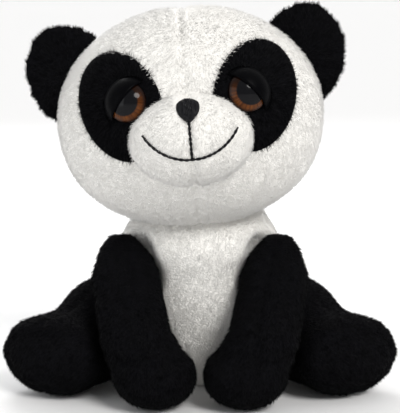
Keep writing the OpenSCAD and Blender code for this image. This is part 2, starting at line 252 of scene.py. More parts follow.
def apply_modifiers(piece: bpy.types.Object) -> None:
    """Makes what the piece's modifiers show into its mesh."""
    graph = bpy.context.evaluated_depsgraph_get()
    graph.update()
    old = piece.data
    piece.data = bpy.data.meshes.new_from_object(piece.evaluated_get(graph))
    piece.modifiers.clear()
    piece.data.name = piece.name
    bpy.data.meshes.remove(old)


def blob_union(name: str, blobs: Sequence[Blob], voxel: float, soften: int) -> bpy.types.Object:
    """One even skin round several blobs.

    Args:
        name: The piece's name.
        blobs: The masses it covers.
        voxel: The remesh's grid size, in millimetres.
        soften: How many smoothing passes round off the meeting lines.

    Returns:
        The new object.
    """
    shape = bmesh.new()
    for blob in blobs:
        bmesh.ops.create_icosphere(shape, subdivisions=4, radius=1.0, matrix=Matrix.Scale(MM, 4) @ blob.matrix())
    mesh = bpy.data.meshes.new(name)
    shape.to_mesh(mesh)
    shape.free()
    piece = bpy.data.objects.new(name, mesh)
    bpy.context.scene.collection.objects.link(piece)
    remesh = piece.modifiers.new("even", "REMESH")
    remesh.mode = "VOXEL"
    remesh.voxel_size = voxel * MM
    smooth = piece.modifiers.new("soften", "SMOOTH")
    smooth.factor = 0.5
    smooth.iterations = soften
    apply_modifiers(piece)
    piece.data.polygons.foreach_set("use_smooth", [True] * len(piece.data.polygons))
    return piece


def subdivide(piece: bpy.types.Object, levels: int) -> None:
    """Catmull-Clark subdivision, applied."""
    rounding = piece.modifiers.new("rounding", "SUBSURF")
    rounding.levels = rounding.render_levels = levels
    apply_modifiers(piece)


def tube(path: Array, radii: Array, sides: int = 10) -> tuple[Array, list[tuple[int, ...]]]:
    """A closed tube with rounded ends along a path.

    Args:
        path: The points it follows.
        radii: Its radius at each of them.
        sides: Corners round it.

    Returns:
        Its points and faces.
    """
    along = unit(np.gradient(path, axis=0))
    across = unit(np.cross(along, np.array([0.31, 0.17, 0.94])))
    other = np.cross(along, across)
    angles = np.arange(sides) * 2 * math.pi / sides
    rings = [
        path[k] + radii[k] * (np.outer(np.cos(angles), across[k]) + np.outer(np.sin(angles), other[k]))
        for k in range(len(path))
    ]
    points = np.vstack([*rings, path[:1] - along[:1] * radii[0] * 0.6, path[-1:] + along[-1:] * radii[-1] * 0.6])
    first, last = len(points) - 2, len(points) - 1
    faces: list[tuple[int, ...]] = []
    for k in range(len(path) - 1):
        for i in range(sides):
            j = (i + 1) % sides
            faces.append((k * sides + i, k * sides + j, (k + 1) * sides + j, (k + 1) * sides + i))
    top = (len(path) - 1) * sides
    for i in range(sides):
        j = (i + 1) % sides
        faces.append((first, j, i))
        faces.append((last, top + i, top + j))
    return points, faces


class Surface:
    """A finished skin that other pieces are laid on."""

    def __init__(self, piece: bpy.types.Object) -> None:
        """Keeps a search tree of the piece's faces."""
        self.tree = BVHTree.FromPolygons(
            [Vector(p) for p in points_of(piece)], [tuple(f.vertices) for f in piece.data.polygons]
        )

    def hit(self, starts: Array, direction: Array) -> tuple[Array, Array]:
        """Where lines from the starts first meet the skin.

        Args:
            starts: Points in millimetres.
            direction: The way the lines run.

        Returns:
            The points met and the skin's outward directions there; a line that misses takes the nearest point.
        """
        points, normals = [], []
        way = Vector(direction)
        for start in starts:
            found = self.tree.ray_cast(Vector(start), way)
            if found[0] is None:
                found = self.tree.find_nearest(Vector(start))
            points.append(found[0])
            normals.append(found[1])
        return np.array(points), np.array(normals)

    def height(self, points: Array) -> Array:
        """How far each point stands outside the skin, negative inside."""
        heights = []
        for p in points:
            near, normal, _, gap = self.tree.find_nearest(Vector(p))
            heights.append(gap if (Vector(p) - near).dot(normal) > 0 else -gap)
        return np.array(heights)


# ---------------------------------------------------------------- materials


class Value:
    """A shader socket that takes part in plain expressions."""

    def __init__(self, shader: "Shader", socket: bpy.types.NodeSocket) -> None:
        """Wraps a socket of the given shader."""
        self.shader = shader
        self.socket = socket

    def _maths(self, operation: str, *terms: "Value | float") -> "Value":
        """A Math node on these terms."""
        return self.shader.add("ShaderNodeMath", {"operation": operation}, dict(enumerate(terms)))

    def __add__(self, other: "Value | float") -> "Value":
        """self + other"""
        return self._maths("ADD", self, other)

    __radd__ = __add__

    def __sub__(self, other: "Value | float") -> "Value":
        """self - other"""
        return self._maths("SUBTRACT", self, other)

    def __rsub__(self, other: float) -> "Value":
        """other - self"""
        return self._maths("SUBTRACT", other, self)

    def __mul__(self, other: "Value | float") -> "Value":
        """self * other"""
        return self._maths("MULTIPLY", self, other)

    __rmul__ = __mul__

    def clamped(self) -> "Value":
        """The value held between 0 and 1."""
        return self._maths("MINIMUM", self._maths("MAXIMUM", self, 0.0), 1.0)

    def rise(self, low: float, high: float) -> "Value":
        """Smooth rise from 0 at low to 1 at high."""
        return self.shader.add(
            "ShaderNodeMapRange",
            {"interpolation_type": "SMOOTHSTEP"},
            {"Value": self, "From Min": low, "From Max": high},
        )


class Shader:
    """One material's nodes, with a Principled shader at the end."""

    def __init__(self, name: str) -> None:
        """Starts an empty material of that name."""
        self.material = bpy.data.materials.new(name)
        self.material.use_nodes = True
        self.tree = self.material.node_tree
        self.tree.nodes.clear()
        self.output = self.tree.nodes.new("ShaderNodeOutputMaterial")
        self.principled = self.tree.nodes.new("ShaderNodeBsdfPrincipled")
        self.tree.links.new(self.principled.outputs[0], self.output.inputs[0])

    def _feed(self, socket: bpy.types.NodeSocket, value: "Value | float | Sequence[float]") -> None:
        """Links a value to a socket, or sets it there."""
        if isinstance(value, Value):
            self.tree.links.new(value.socket, socket)
        elif isinstance(value, (int, float)):
            socket.default_value = value
        else:
            given = tuple(value)
            size = len(socket.default_value)
            socket.default_value = given + (1.0,) * (size - len(given))

    def add(self, kind: str, settings: dict, inputs: dict, output: int | str = 0) -> Value:
        """Any node of this material.

        Args:
            kind: The node's type.
            settings: Its own settings; "stops" gives a colour ramp's stops as (place, colour).
            inputs: Values or links of its sockets, by name or number.
            output: The output wanted.

        Returns:
            That output.
        """
        node = self.tree.nodes.new(kind)
        for key, setting in settings.items():
            if key == "stops":
                ramp = node.color_ramp
                while len(ramp.elements) < len(setting):
                    ramp.elements.new(1.0)
                for stop, (place, colour) in zip(ramp.elements, setting):
                    stop.position = place
                    stop.color = (*colour, 1.0)
            else:
                setattr(node, key, setting)
        for key, value in inputs.items():
            self._feed(node.inputs[key], value)
        return Value(self, node.outputs[output])

    def place(self) -> Value:
        """The point's place in the frame's axes, in metres."""
        return self.add("ShaderNodeTexCoord", {}, {}, "Object")

    def noise(self, scale: float, detail: float = 3.0, rough: float = 0.55) -> Value:
        """Cloudy noise with that many cells to the metre."""
        return self.add(
            "ShaderNodeTexNoise", {}, {"Vector": self.place(), "Scale": scale, "Detail": detail, "Roughness": rough}
        )

    def mix(self, share: "Value | float", a: "Value | Colour", b: "Value | Colour") -> Value:
        """Colour a where share is 0 and colour b where it is 1."""
        return self.add("ShaderNodeMix", {"data_type": "RGBA"}, {0: share, 6: a, 7: b}, 2)

    def bump(self, height: Value, depth: float, strength: float = 1.0) -> Value:
        """A relief of that depth, in metres."""
        return self.add("ShaderNodeBump", {}, {"Height": height, "Distance": depth, "Strength": strength})

    def finish(self, inputs: dict) -> bpy.types.Material:
        """Feeds the Principled shader and returns the material."""
        for key, value in inputs.items():
            self._feed(self.principled.inputs[key], value)
        return self.material


@dataclass(frozen=True)
class KnitBacking:
    """The knitted cloth that the pile stands on, seen between the yarns and along the seams."""

    name: str
    light: Colour
    dark: Colour
    sheen: float = 0.3
    gloss: float = 0.2

    def material(self) -> bpy.types.Material:
        """The backing's material."""
        s = Shader(self.name)
        mottle = s.noise(160.0, 4.0).rise(0.35, 0.7)
        grain = s.noise(1400.0, 2.0)
        loops = s.add("ShaderNodeTexVoronoi", {}, {"Vector": s.place(), "Scale": 900.0})
        return s.finish(
            {
                "Base Color": s.mix(mottle * 0.7 + grain * 0.3, self.light, self.dark),
                "Roughness": 0.82 + mottle * 0.12,
                "Normal": s.bump(loops + grain * 0.6, 0.0004, 0.8),
                "Sheen Weight": self.sheen,
                "Sheen Roughness": 0.4,
                "Specular IOR Level": self.gloss,
            }
        )


@dataclass(frozen=True)
class Yarn:
    """The pile's yarn, one constant tint for a share of the spikes."""

    name: str
    colour: Colour
    roughness: float = 0.75
    sheen: float = 0.4
    gloss: float = 0.2

    def material(self) -> bpy.types.Material:
        """The yarn's material."""
        return Shader(self.name).finish(
            {
                "Base Color": self.colour,
                "Roughness": self.roughness,
                "Sheen Weight": self.sheen,
                "Sheen Roughness": 0.35,
                "Specular IOR Level": self.gloss,
            }
        )


@dataclass(frozen=True)
class SatinThread:
    """Shiny embroidery thread laid side by side, with painted light and shade along its threads."""

    name: str
    colour: Colour
    ridge_light_and_shade: Colour
    pitch: float = 0.0007
    gloss: float = 0.4

    def material(self) -> bpy.types.Material:
        """The thread's material."""
        s = Shader(self.name)
        strands = s.add(
            "ShaderNodeTexWave",
            {"wave_type": "BANDS", "bands_direction": "X"},
            {"Vector": s.place(), "Scale": 0.1 / self.pitch, "Distortion": 1.5, "Detail": 1.0, "Detail Scale": 2.0},
            1,
        )
        wear = s.noise(500.0, 3.0)
        return s.finish(
            {
                # painted light and shade: each thread band is tinted toward the second colour, lighter on the black
                # thread and darker on the white; the wear noise adds random tone
                "Base Color": s.mix(strands * 0.5 + wear * 0.3, self.colour, self.ridge_light_and_shade),
                "Roughness": 0.32 + strands * 0.15,
                "Normal": s.bump(strands, 0.0003, 0.7),
                "Specular IOR Level": self.gloss,
                "Anisotropic": 0.4,
            }
        )


@dataclass(frozen=True)
class EyeColours:
    """The clear-fronted eye: black pupil, amber iris streaked from the middle and painted shaded away from its lit
    side, dark rim.
    """

    centre: Array
    axis: Array
    lit: Array
    pupil: float
    rim: float

    def material(self, name: str) -> bpy.types.Material:
        """The eye's material.

        Args:
            name: Its name, one for each eye, since the rings lie round that eye's own axis.

        Returns:
            The material.
        """
        s = Shader(name)
        from_middle = s.add(
            "ShaderNodeVectorMath",
            {"operation": "SUBTRACT"},
            {0: s.place(), 1: tuple(self.centre * MM)},
        )
        along = s.add("ShaderNodeVectorMath", {"operation": "DOT_PRODUCT"}, {0: from_middle, 1: tuple(self.axis)}, 1)
        lift = s.add(
            "ShaderNodeVectorMath", {"operation": "SCALE"}, {0: tuple(self.axis), "Scale": along}
        )
        flat = s.add("ShaderNodeVectorMath", {"operation": "SUBTRACT"}, {0: from_middle, 1: lift})
        radius = s.add("ShaderNodeVectorMath", {"operation": "LENGTH"}, {0: flat}, 1)
        direction = s.add("ShaderNodeVectorMath", {"operation": "NORMALIZE"}, {0: flat})
        streaks = s.add(
            "ShaderNodeTexNoise", {}, {"Vector": direction, "Scale": 9.0, "Detail": 4.0, "Roughness": 0.7}
        )
        pupil = self.pupil * MM
        rim = self.rim * MM
        # painted light and shade: the iris keeps its amber toward the lit side and darkens to near black away from it
        lit = s.add("ShaderNodeVectorMath", {"operation": "DOT_PRODUCT"}, {0: direction, 1: tuple(self.lit)}, 1)
        amber = s.mix(streaks.rise(0.3, 0.7), (0.045, 0.012, 0.002), (0.125, 0.038, 0.007))
        shaded = s.mix(lit.rise(-0.5, 0.75), (0.010, 0.003, 0.001), amber)
        ringed = s.mix(radius.rise(0.84 * rim, rim), shaded, (0.008, 0.003, 0.002))
        colour = s.mix(radius.rise(pupil - 0.0004, pupil + 0.0004), (0.004, 0.004, 0.005), ringed)
        return s.finish(
            {
                "Base Color": colour,
                "Roughness": 0.16 + radius.rise(pupil, rim) * 0.12,
                "Coat Weight": 0.2,
                "Coat Roughness": 0.02,
                "Coat IOR": 1.45,
                "Specular IOR Level": 0.05,
            }
        )


@dataclass(frozen=True)
class MouldedPlastic:
    """Moulded plastic with a faint grain."""

    name: str
    colour: Colour
    shade: Colour
    roughness: float = 0.35
    grain: float = 900.0
    gloss: float = 0.5

    def material(self) -> bpy.types.Material:
        """The plastic's material."""
        s = Shader(self.name)
        flow = s.noise(120.0, 3.0)
        grain = s.noise(self.grain, 2.0)
        return s.finish(
            {
                "Base Color": s.mix(flow, self.colour, self.shade),
                "Roughness": self.roughness + grain * 0.12,
                "Normal": s.bump(grain, 0.00008, 0.5),
                "Specular IOR Level": self.gloss,
            }
        )


@dataclass(frozen=True)
class WovenLabel:
    """Satin ribbon for the blank label, and plain cotton for the pouch."""

    name: str
    colour: Colour
    shade: Colour
    pitch: float = 0.0005

    def material(self) -> bpy.types.Material:
        """The ribbon's material."""
        s = Shader(self.name)
        weave = {"Vector": s.place(), "Scale": 0.1 / self.pitch}
        warp = s.add("ShaderNodeTexWave", {"bands_direction": "X"}, weave, 1)
        weft = s.add("ShaderNodeTexWave", {"bands_direction": "Z"}, weave, 1)
        cloth = warp * 0.5 + weft * 0.5
        return s.finish(
            {
                "Base Color": s.mix(cloth, self.colour, self.shade),
                "Roughness": 0.5 + cloth * 0.2,
                "Normal": s.bump(cloth, 0.00015, 0.7),
                "Sheen Weight": 0.2,
            }
        )


# ---------------------------------------------------------------- stuffed forms and pile


Seam = Callable[[Array], Array]


@dataclass
class Stuffed:
    """One stuffed form: remeshed blobs, filled by cloth pressure, its seams drawn in."""

    name: str
    blobs: Sequence[Blob]
    seams: Sequence[Seam]
    voxel: float = 4.6
    soften: int = 6
    swell: float = 2.5
    groove: float = 1.1
    groove_width: float = 1.9
    levels: int = 1
    shape: Callable[[Array], Array] | None = None
    settle: Callable[[Array], Array] | None = None

    def start(self) -> bpy.types.Object:
        """The form before filling, with its seams in a vertex group."""
        piece = blob_union(self.name, self.blobs, self.voxel, self.soften)
        if self.shape:
            move_points(piece, self.shape(points_of(piece)))
        held = piece.vertex_groups.new(name="seams")
        for seam in self.seams:
            near = bell(seam(points_of(piece)), 0.7 * self.voxel)
            for index in np.flatnonzero(near > 0.3):
                held.add([int(index)], float(near[index]), "REPLACE")
        return piece

    def finish(self, piece: bpy.types.Object) -> None:
        """Rounds the filled form and draws its seams in."""
        subdivide(piece, self.levels)
        points, normals = points_of(piece), normals_of(piece)
        sunk = np.zeros(len(points))
        for seam in self.seams:
            gap = seam(points)
            pucker = 1 + 0.25 * np.sin(points.sum(1) * 1.3)
            sunk = np.maximum(sunk, self.groove * bell(gap, self.groove_width) * pucker)
        points = points - normals * sunk[:, None]
        move_points(piece, self.settle(points) if self.settle else points)


class Filling:
    """The cloth simulation that fills every stuffed form at once."""

    PRESSURE = 4.0
    FRAMES = 20

    def __init__(self) -> None:
        """Starts with nothing to fill."""
        self.waiting: list[tuple[Stuffed, bpy.types.Object]] = []

    def add(self, form: Stuffed) -> bpy.types.Object:
        """Puts a form in line to be filled and returns its piece."""
        piece = form.start()
        self.waiting.append((form, piece))
        return piece

    def _cloth(self, piece: bpy.types.Object) -> None:
        """Gives a piece its cloth settings."""
        cloth = piece.modifiers.new("filling", "CLOTH")
        cloth.settings.quality = 4
        cloth.settings.mass = 0.2
        cloth.settings.tension_stiffness = cloth.settings.compression_stiffness = 12
        cloth.settings.bending_stiffness = 0.6
        cloth.settings.use_pressure = True
        cloth.settings.uniform_pressure_force = self.PRESSURE
        cloth.settings.vertex_group_mass = "seams"
        cloth.settings.effector_weights.gravity = 0
        cloth.point_cache.frame_start = 1
        cloth.point_cache.frame_end = self.FRAMES

    def run(self) -> None:
        """Fills all the waiting forms and finishes them."""
        rest = [points_of(piece) for _, piece in self.waiting]
        for _, piece in self.waiting:
            self._cloth(piece)
        for number in range(1, self.FRAMES + 1):
            bpy.context.scene.frame_set(number)
        for (form, piece), before in zip(self.waiting, rest):
            apply_modifiers(piece)
            move = points_of(piece) - before
            length = np.linalg.norm(move, axis=1, keepdims=True)
            move *= np.minimum(1.0, form.swell / np.maximum(length, 1e-6))
            move_points(piece, before + move)
        bpy.context.scene.frame_set(1)
        for form, piece in self.waiting:
            piece.vertex_groups.clear()
            form.finish(piece)
            LOG.info("filled %s: %d faces", piece.name, len(piece.data.polygons))


@dataclass(frozen=True)
class Pile:
    """Short pile: how long, how thick, how dense and in which yarns."""

    yarns: Sequence[bpy.types.Material]
    length: float = 2.2
    thickness: float = 0.4
    per_mm2: float = 1.3
    lean: float = 50.0
    stray: float = 0.22
    relief: float = 0.16

    def grow(
        self,
        name: str,
        skin: bpy.types.Object,
        seed: int,
        cover: Callable[[Array, Array], Array],
        comb: Callable[[Array], Array],
        stretch: Callable[[Array], Array] | None = None,
    ) -> bpy.types.Object:
        """Stands pile on a skin.

        Args:
            name: The new piece's name.
            skin: The piece it stands on.
            seed: What the scatter starts from.
            cover: From points and normals, the share of the pile that stands there.
            comb: From points, the way the pile is brushed.
            stretch: From points, how many times its usual length it is there.

        Returns:
            The pile, as one piece of closed spikes.
        """
        chance = np.random.default_rng(seed)
        skin.data.calc_loop_triangles()
        corners = np.zeros(len(skin.data.loop_triangles) * 3, np.int32)
        skin.data.loop_triangles.foreach_get("vertices", corners)
        corners = corners.reshape(-1, 3)
        points, normals = points_of(skin), normals_of(skin)
        a, b, c = (points[corners[:, k]] for k in range(3))
        area = np.linalg.norm(np.cross(b - a, c - a), axis=1) / 2
        count = int(area.sum() * self.per_mm2)
        pick = np.minimum(np.searchsorted(np.cumsum(area), chance.random(count) * area.sum()), len(area) - 1)
        u, v = np.sqrt(chance.random(count)), chance.random(count)
        share = np.stack([1 - u, u * (1 - v), u * v], 1)[:, :, None]
        roots = (points[corners[pick]] * share).sum(1)
        out = unit((normals[corners[pick]] * share).sum(1))
        keep = chance.random(count) < cover(roots, out)
        roots, out = roots[keep], out[keep]
        count = len(roots)
        brush = comb(roots)
        brush = unit(brush - out * (brush * out).sum(1, keepdims=True))
        lean = math.radians(self.lean)
        way = unit(out * math.cos(lean) + brush * math.sin(lean) + self.stray * chance.normal(size=(count, 3)))
        way = unit(way + out * np.maximum(0.0, 0.25 - (way * out).sum(1, keepdims=True)))
        length = self.length * (0.75 + 0.5 * chance.random(count))
        if stretch:
            length *= stretch(roots)
        spin = unit(np.cross(way, chance.normal(size=(count, 3))))
        side = np.cross(way, spin)
        base = roots - out * 0.35
        ring = [
            base + self.thickness / 2 * (spin * math.cos(t) + side * math.sin(t))
            for t in (0, 2 * math.pi / 3, 4 * math.pi / 3)
        ]
        tip = base + way * (length[:, None] + 0.35)
        corner = np.stack([*ring, tip], 1).reshape(-1, 3)
        spike = np.array([[0, 1, 3], [1, 2, 3], [2, 0, 3], [2, 1, 0]])
        triangles = (np.arange(count)[:, None, None] * 4 + spike).reshape(-1, 3)
        tint = np.repeat(chance.integers(0, len(self.yarns), count), 4)
        piece = triangle_piece(name, corner, triangles, tint)
        facing = unit(out + self.relief * (way - out) + 0.05 * chance.normal(size=(count, 3)))
        piece.data.normals_split_custom_set_from_vertices(np.repeat(facing, 4, axis=0).tolist())
        for yarn in self.yarns:
            piece.data.materials.append(yarn)
        LOG.info("%s: %d spikes", name, count)
        return piece


@dataclass
class Finishes:
    """Every material of the panda, made once."""

    white_back: bpy.types.Material = field(
        default_factory=lambda: KnitBacking("white_backing", (0.86, 0.845, 0.81), (0.78, 0.765, 0.73)).material()
    )
    black_back: bpy.types.Material = field(
        default_factory=lambda: KnitBacking(
            "black_backing", (0.0025, 0.0025, 0.003), (0.004, 0.004, 0.005), 0.01, 0.03
        ).material()
    )
    thread: bpy.types.Material = field(
        default_factory=lambda: SatinThread(
            # the second colour, lighter, is painted light on the thread ridges
            "black_thread", (0.003, 0.003, 0.004), (0.010, 0.010, 0.012), 0.0007, 0.12
        ).material()
    )
    white_thread: bpy.types.Material = field(
        # the second colour, darker, is painted shade between the threads
        default_factory=lambda: SatinThread("white_thread", (0.80, 0.78, 0.74), (0.62, 0.60, 0.56)).material()
    )
    lid: bpy.types.Material = field(
        default_factory=lambda: MouldedPlastic(
            "lid_plastic", (0.001, 0.001, 0.0014), (0.002, 0.002, 0.0025), 0.3, 900.0, 0.02
        ).material()
    )
    stem: bpy.types.Material = field(
        default_factory=lambda: MouldedPlastic("stem_plastic", (0.02, 0.02, 0.022), (0.03, 0.03, 0.03), 0.4).material()
    )
    washer: bpy.types.Material = field(
        default_factory=lambda: MouldedPlastic("washer_plastic", (0.75, 0.75, 0.73), (0.66, 0.66, 0.64)).material()
    )
    beads: bpy.types.Material = field(
        default_factory=lambda: MouldedPlastic(
            "pellet_plastic", (0.62, 0.66, 0.68), (0.5, 0.54, 0.58), 0.3, 350.0
        ).material()
    )
    ribbon: bpy.types.Material = field(
        default_factory=lambda: WovenLabel("label_ribbon", (0.85, 0.84, 0.82), (0.72, 0.71, 0.69)).material()
    )
    cotton: bpy.types.Material = field(
        default_factory=lambda: WovenLabel("pouch_cotton", (0.7, 0.69, 0.65), (0.55, 0.54, 0.5), 0.0009).material()
    )

    def __post_init__(self) -> None:
        """Makes the yarns, a few tints of each colour."""
        self.white_yarns = [
            Yarn("white_yarn_bright", (0.92, 0.905, 0.875)).material(),
            Yarn("white_yarn_cream", (0.89, 0.87, 0.83)).material(),
            Yarn("white_yarn_plain", (0.905, 0.89, 0.86)).material(),
        ]
        self.black_yarns = [
            Yarn("black_yarn_deep", (0.0018, 0.0018, 0.0021), 0.9, 0.0, 0.02).material(),
            Yarn("black_yarn_plain", (0.0026, 0.0026, 0.0030), 0.85, 0.005, 0.03).material(),
            Yarn("black_yarn_glint", (0.0050, 0.0050, 0.0058), 0.7, 0.01, 0.06).material(),
        ]

    def white_pile(self, **sizes: float) -> Pile:
        """White pile, with any sizes that differ."""
        return Pile(self.white_yarns, **sizes)

    def black_pile(self, **sizes: float) -> Pile:
        """Black pile, a little longer and looser than the white."""
        return Pile(self.black_yarns, **{"length": 2.0, "stray": 0.2, "lean": 55.0, "per_mm2": 1.5, **sizes})


def dress(piece: bpy.types.Object, *materials: bpy.types.Material) -> bpy.types.Object:
    """Gives a piece its materials."""
    piece.data.materials.clear()
    for material in materials:
        piece.data.materials.append(material)
    return piece


# ---------------------------------------------------------------- head


@dataclass
class Head:
    """The rolled, side-swept head with its muzzle, eye patches, embroidery and eyes."""

    finishes: Finishes
    filling: Filling
    width: float = 138.0
    depth: float = 106.0
    height: float = 115.0
    forward: float = 8.0
    rise: float = 56.0
    roll: float = 5.0
    muzzle: tuple[float, float, float] = (63.0, 50.0, 48.0)
    muzzle_out: float = 15.0
    muzzle_drop: float = 6.5
    side_seam: float = 6.0
    patch: tuple[float, float] = (41.0, 54.0)
    patch_at: tuple[float, float] = (32.5, 11.0)
    patch_lean: float = 16.0
    eye_width: float = 19.5
    eye_dome: float = 5.0
    eye_gap: float = 57.5
    eye_up: float = 13.5
    pupil: float = 6.9
    eye_splay: float = 18.0
    eye_tilt: float = 10.0
    eye_lift: float = 1.5
    lid_slant: float = 50.0
    nose: tuple[float, float] = (11.0, 11.4)
    nose_up: float = 11.0
    nose_tilt: float = 22.0
    smile_width: float = 44.5
    smile_rise: float = 12.5
    stitch: float = 1.1

    def __post_init__(self) -> None:
        """Places the head on its neck."""
        neck = joint_point("head_nod")
        turn = turn_y(-self.roll)
        self.neck = neck
        self.place = Place(neck + turn @ np.array([0, -self.forward, self.rise]), turn)
        self.radii = np.array([self.width, self.depth, self.height]) / 2
        self.muzzle_radii = np.array(self.muzzle) / 2
        self.muzzle_y = -self.depth / 2 - self.muzzle_out + self.muzzle_radii[1]

    def shape(self, points: Array) -> Array:
        """Fuller cheeks low on the head, a flatter underside and a faint dip at the crown.

        Args:
            points: The round head's points.

        Returns:
            The shaped head's points.
        """
        own = self.place.into(points)
        low = ease(-own[:, 2], 0.05 * self.height, 0.40 * self.height)
        own[:, 0] *= 1 + 0.045 * low
        own[:, 1] *= 1 + 0.03 * low
        own[:, 2] -= 1.2 * bell(own[:, 0], 9.0) * ease(own[:, 2], 0.35 * self.height, 0.5 * self.height)
        return self.place.out(own)

    def start(self) -> None:
        """Lines up the head's and the muzzle's skins for filling."""
        self.skin = self.filling.add(
            Stuffed(
                "head_skin",
                [Blob(self.place.origin, self.radii - 0.6, self.place.turn)],
                [self.middle_seam, self.round_seam],
                voxel=5.0,
                soften=2,
                swell=1.6,
                groove=0.7,
                levels=2,
                shape=self.shape,
            )
        )
        at = self.place.out([0, self.muzzle_y, -self.muzzle_drop])
        self.muzzle_skin = self.filling.add(
            Stuffed(
                "muzzle_skin",
                [Blob(at, self.muzzle_radii - 0.4, self.place.turn)],
                [self.middle_seam],
                voxel=4.0,
                soften=2,
                swell=1.8,
                groove=1.5,
                groove_width=2.4,
                levels=2,
            )
        )

    def middle_seam(self, points: Array) -> Array:
        """How far points lie from the seam down the middle."""
        return self.place.into(points)[:, 0]

    def round_seam(self, points: Array) -> Array:
        """How far points lie from the seam between face and back."""
        return self.place.into(points)[:, 1] - self.side_seam

    def patch_level(self, points: Array, side: Side, grow: float = 0.0) -> Array:
        """Below 1 inside an eye patch's outline.

        Args:
            points: Points in the frame's axes.
            side: Which patch.
            grow: How much larger the outline is taken to be.

        Returns:
            The share of the outline's radius at which each point lies.
        """
        own = self.place.into(points)
        x = own[:, 0] * side.value - self.patch_at[0]
        z = own[:, 2] - self.patch_at[1]
        lean = math.radians(self.patch_lean)
        across = x * math.cos(lean) - z * math.sin(lean)
        up = x * math.sin(lean) + z * math.cos(lean)
        level = np.hypot(across / (self.patch[0] / 2 + grow), up / (self.patch[1] / 2 + grow))
        return np.where(own[:, 1] > 0, 9.0, level)

    def over_muzzle(self, points: Array, grow: float = 0.0) -> Array:
        """Below 1 inside the muzzle's ball."""
        at = self.place.out([0, self.muzzle_y, -self.muzzle_drop])
        return Blob(at, self.muzzle_radii, self.place.turn).level(points, grow)

    def follow(self, piece: bpy.types.Object) -> bpy.types.Object:
        """Bakes a skin piece's placement into its mesh."""
        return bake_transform(piece)

    def build_skins(self) -> None:
        """Dresses the head and the muzzle and stands their pile."""
        dress(self.skin, self.finishes.white_back)
        dress(self.muzzle_skin, self.finishes.white_back)
        self.surface = Surface(self.skin)
        self.muzzle_surface = Surface(self.muzzle_skin)

        def cover_head(points: Array, normals: Array) -> Array:
            """White everywhere but under the patches, the muzzle and the neck."""
            bare = np.ones(len(points))
            for side in Side:
                bare *= ease(self.patch_level(points, side), 0.97, 1.03)
            bare *= ease(self.over_muzzle(points), 0.93, 1.0)
            return bare * ease(points[:, 2], self.neck[2] - 3.0, self.neck[2] + 1.0)

        def comb_head(points: Array) -> Array:
            """Brushed down and away from the middle seam."""
            own = self.place.into(points)
            way = np.stack([0.6 * np.tanh(own[:, 0] / 10), 0.35 * np.ones(len(own)), -np.ones(len(own))], 1)
            return way @ self.place.turn.T

        pile = self.finishes.white_pile(length=1.9, stray=0.12).grow("head_pile", self.skin, 11, cover_head, comb_head)

        def cover_muzzle(points: Array, normals: Array) -> Array:
            """Only what stands outside the head."""
            own = self.place.into(points)
            out = np.linalg.norm(own / (self.radii - 1.5), axis=1)
            thread = ease(self.thread_gap(points), 0.3, 0.9)
            return ease(out, 0.985, 1.0) * thread

        def comb_muzzle(points: Array) -> Array:
            """Brushed away from the nose."""
            own = self.place.into(points) - np.array([0, 0, self.nose_up])
            own[:, 1] = 0.0
            own[:, 2] -= 6.0
            return own @ self.place.turn.T

        muzzle_pile = self.finishes.white_pile(length=1.7, stray=0.12, per_mm2=1.7).grow(
            "muzzle_pile", self.muzzle_skin, 12, cover_muzzle, comb_muzzle
        )
        for piece in (self.skin, pile):
            self.follow(piece)
        for piece in (self.muzzle_skin, muzzle_pile):
            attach(piece, "head")
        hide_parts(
            "face_left", "face_right", "head_back_left", "head_back_right", "head_stuffing"
        )
        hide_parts("muzzle_left", "muzzle_right")

    def build_patch(self, side: Side) -> None:
        """Sews on one black eye patch: a thin leaf of cloth over the face, with pile that overhangs its edge."""
        rings, spokes = 12, 72
        lean = math.radians(self.patch_lean)
        starts, edge = [], []
        for ring in range(rings + 1):
            share = ring / rings
            for spoke in range(spokes if ring else 1):
                angle = spoke * 2 * math.pi / spokes
                across = share * self.patch[0] / 2 * math.cos(angle)
                up = share * self.patch[1] / 2 * math.sin(angle)
                x = self.patch_at[0] + across * math.cos(lean) + up * math.sin(lean)
                z = self.patch_at[1] - across * math.sin(lean) + up * math.cos(lean)
                starts.append([side.value * x, -self.depth, z])
                edge.append(share)
        hits, normals = self.surface.hit(self.place.out(starts), self.place.turn @ np.array([0, 1.0, 0]))
        rim = ease(np.array(edge), 0.85, 1.0)[:, None]
        front = hits + normals * (0.9 - 0.8 * rim)
        back = hits - normals * 1.0
        count = len(front)

        def index(ring: int, spoke: int) -> int:
            """A grid corner's number."""
            return 0 if ring == 0 else 1 + (ring - 1) * spokes + spoke % spokes

        faces: list[tuple[int, ...]] = []
        for spoke in range(spokes):
            faces.append((0, index(1, spoke), index(1, spoke + 1)))
            for ring in range(1, rings):
                faces.append(
                    (index(ring, spoke), index(ring + 1, spoke), index(ring + 1, spoke + 1), index(ring, spoke + 1))
                )
        if side is Side.LEFT:
            faces = [tuple(reversed(f)) for f in faces]
        under = [tuple(count + i for i in reversed(f)) for f in faces]
        rims = []
        for spoke in range(spokes):
            a, b = index(rings, spoke), index(rings, spoke + 1)
            rims.append((a, b, count + b, count + a) if side is Side.LEFT else (b, a, count + a, count + b))
        name = side.name.lower()
        leaf = mesh_piece(f"eye_patch_cloth_{name}", np.vstack([front, back]), faces + under + rims)
        bm = bmesh.new()
        bm.from_mesh(leaf.data)
        bmesh.ops.recalc_face_normals(bm, faces=bm.faces)
        bm.to_mesh(leaf.data)
        bm.free()
        dress(leaf, self.finishes.black_back)
        middle = self.place.out([side.value * self.patch_at[0], -self.depth / 2, self.patch_at[1]])
        eye = self.eye_place(side)

        def cover(points: Array, normals: Array) -> Array:
            """The front only, clear of the eye and the muzzle."""
            forward = self.place.into(points + normals)[:, 1] < self.place.into(points)[:, 1]
            own = eye.into(points)
            clear = ease(np.hypot(own[:, 0], own[:, 1]), self.eye_width / 2 - 0.5, self.eye_width / 2 + 0.5)
            return forward * clear * ease(self.over_muzzle(points), 0.96, 1.0)

        def comb(points: Array) -> Array:
            """Brushed outwards from the patch's middle, and down."""
            return (points - middle) / 20 + np.array([0, 0, -0.5])

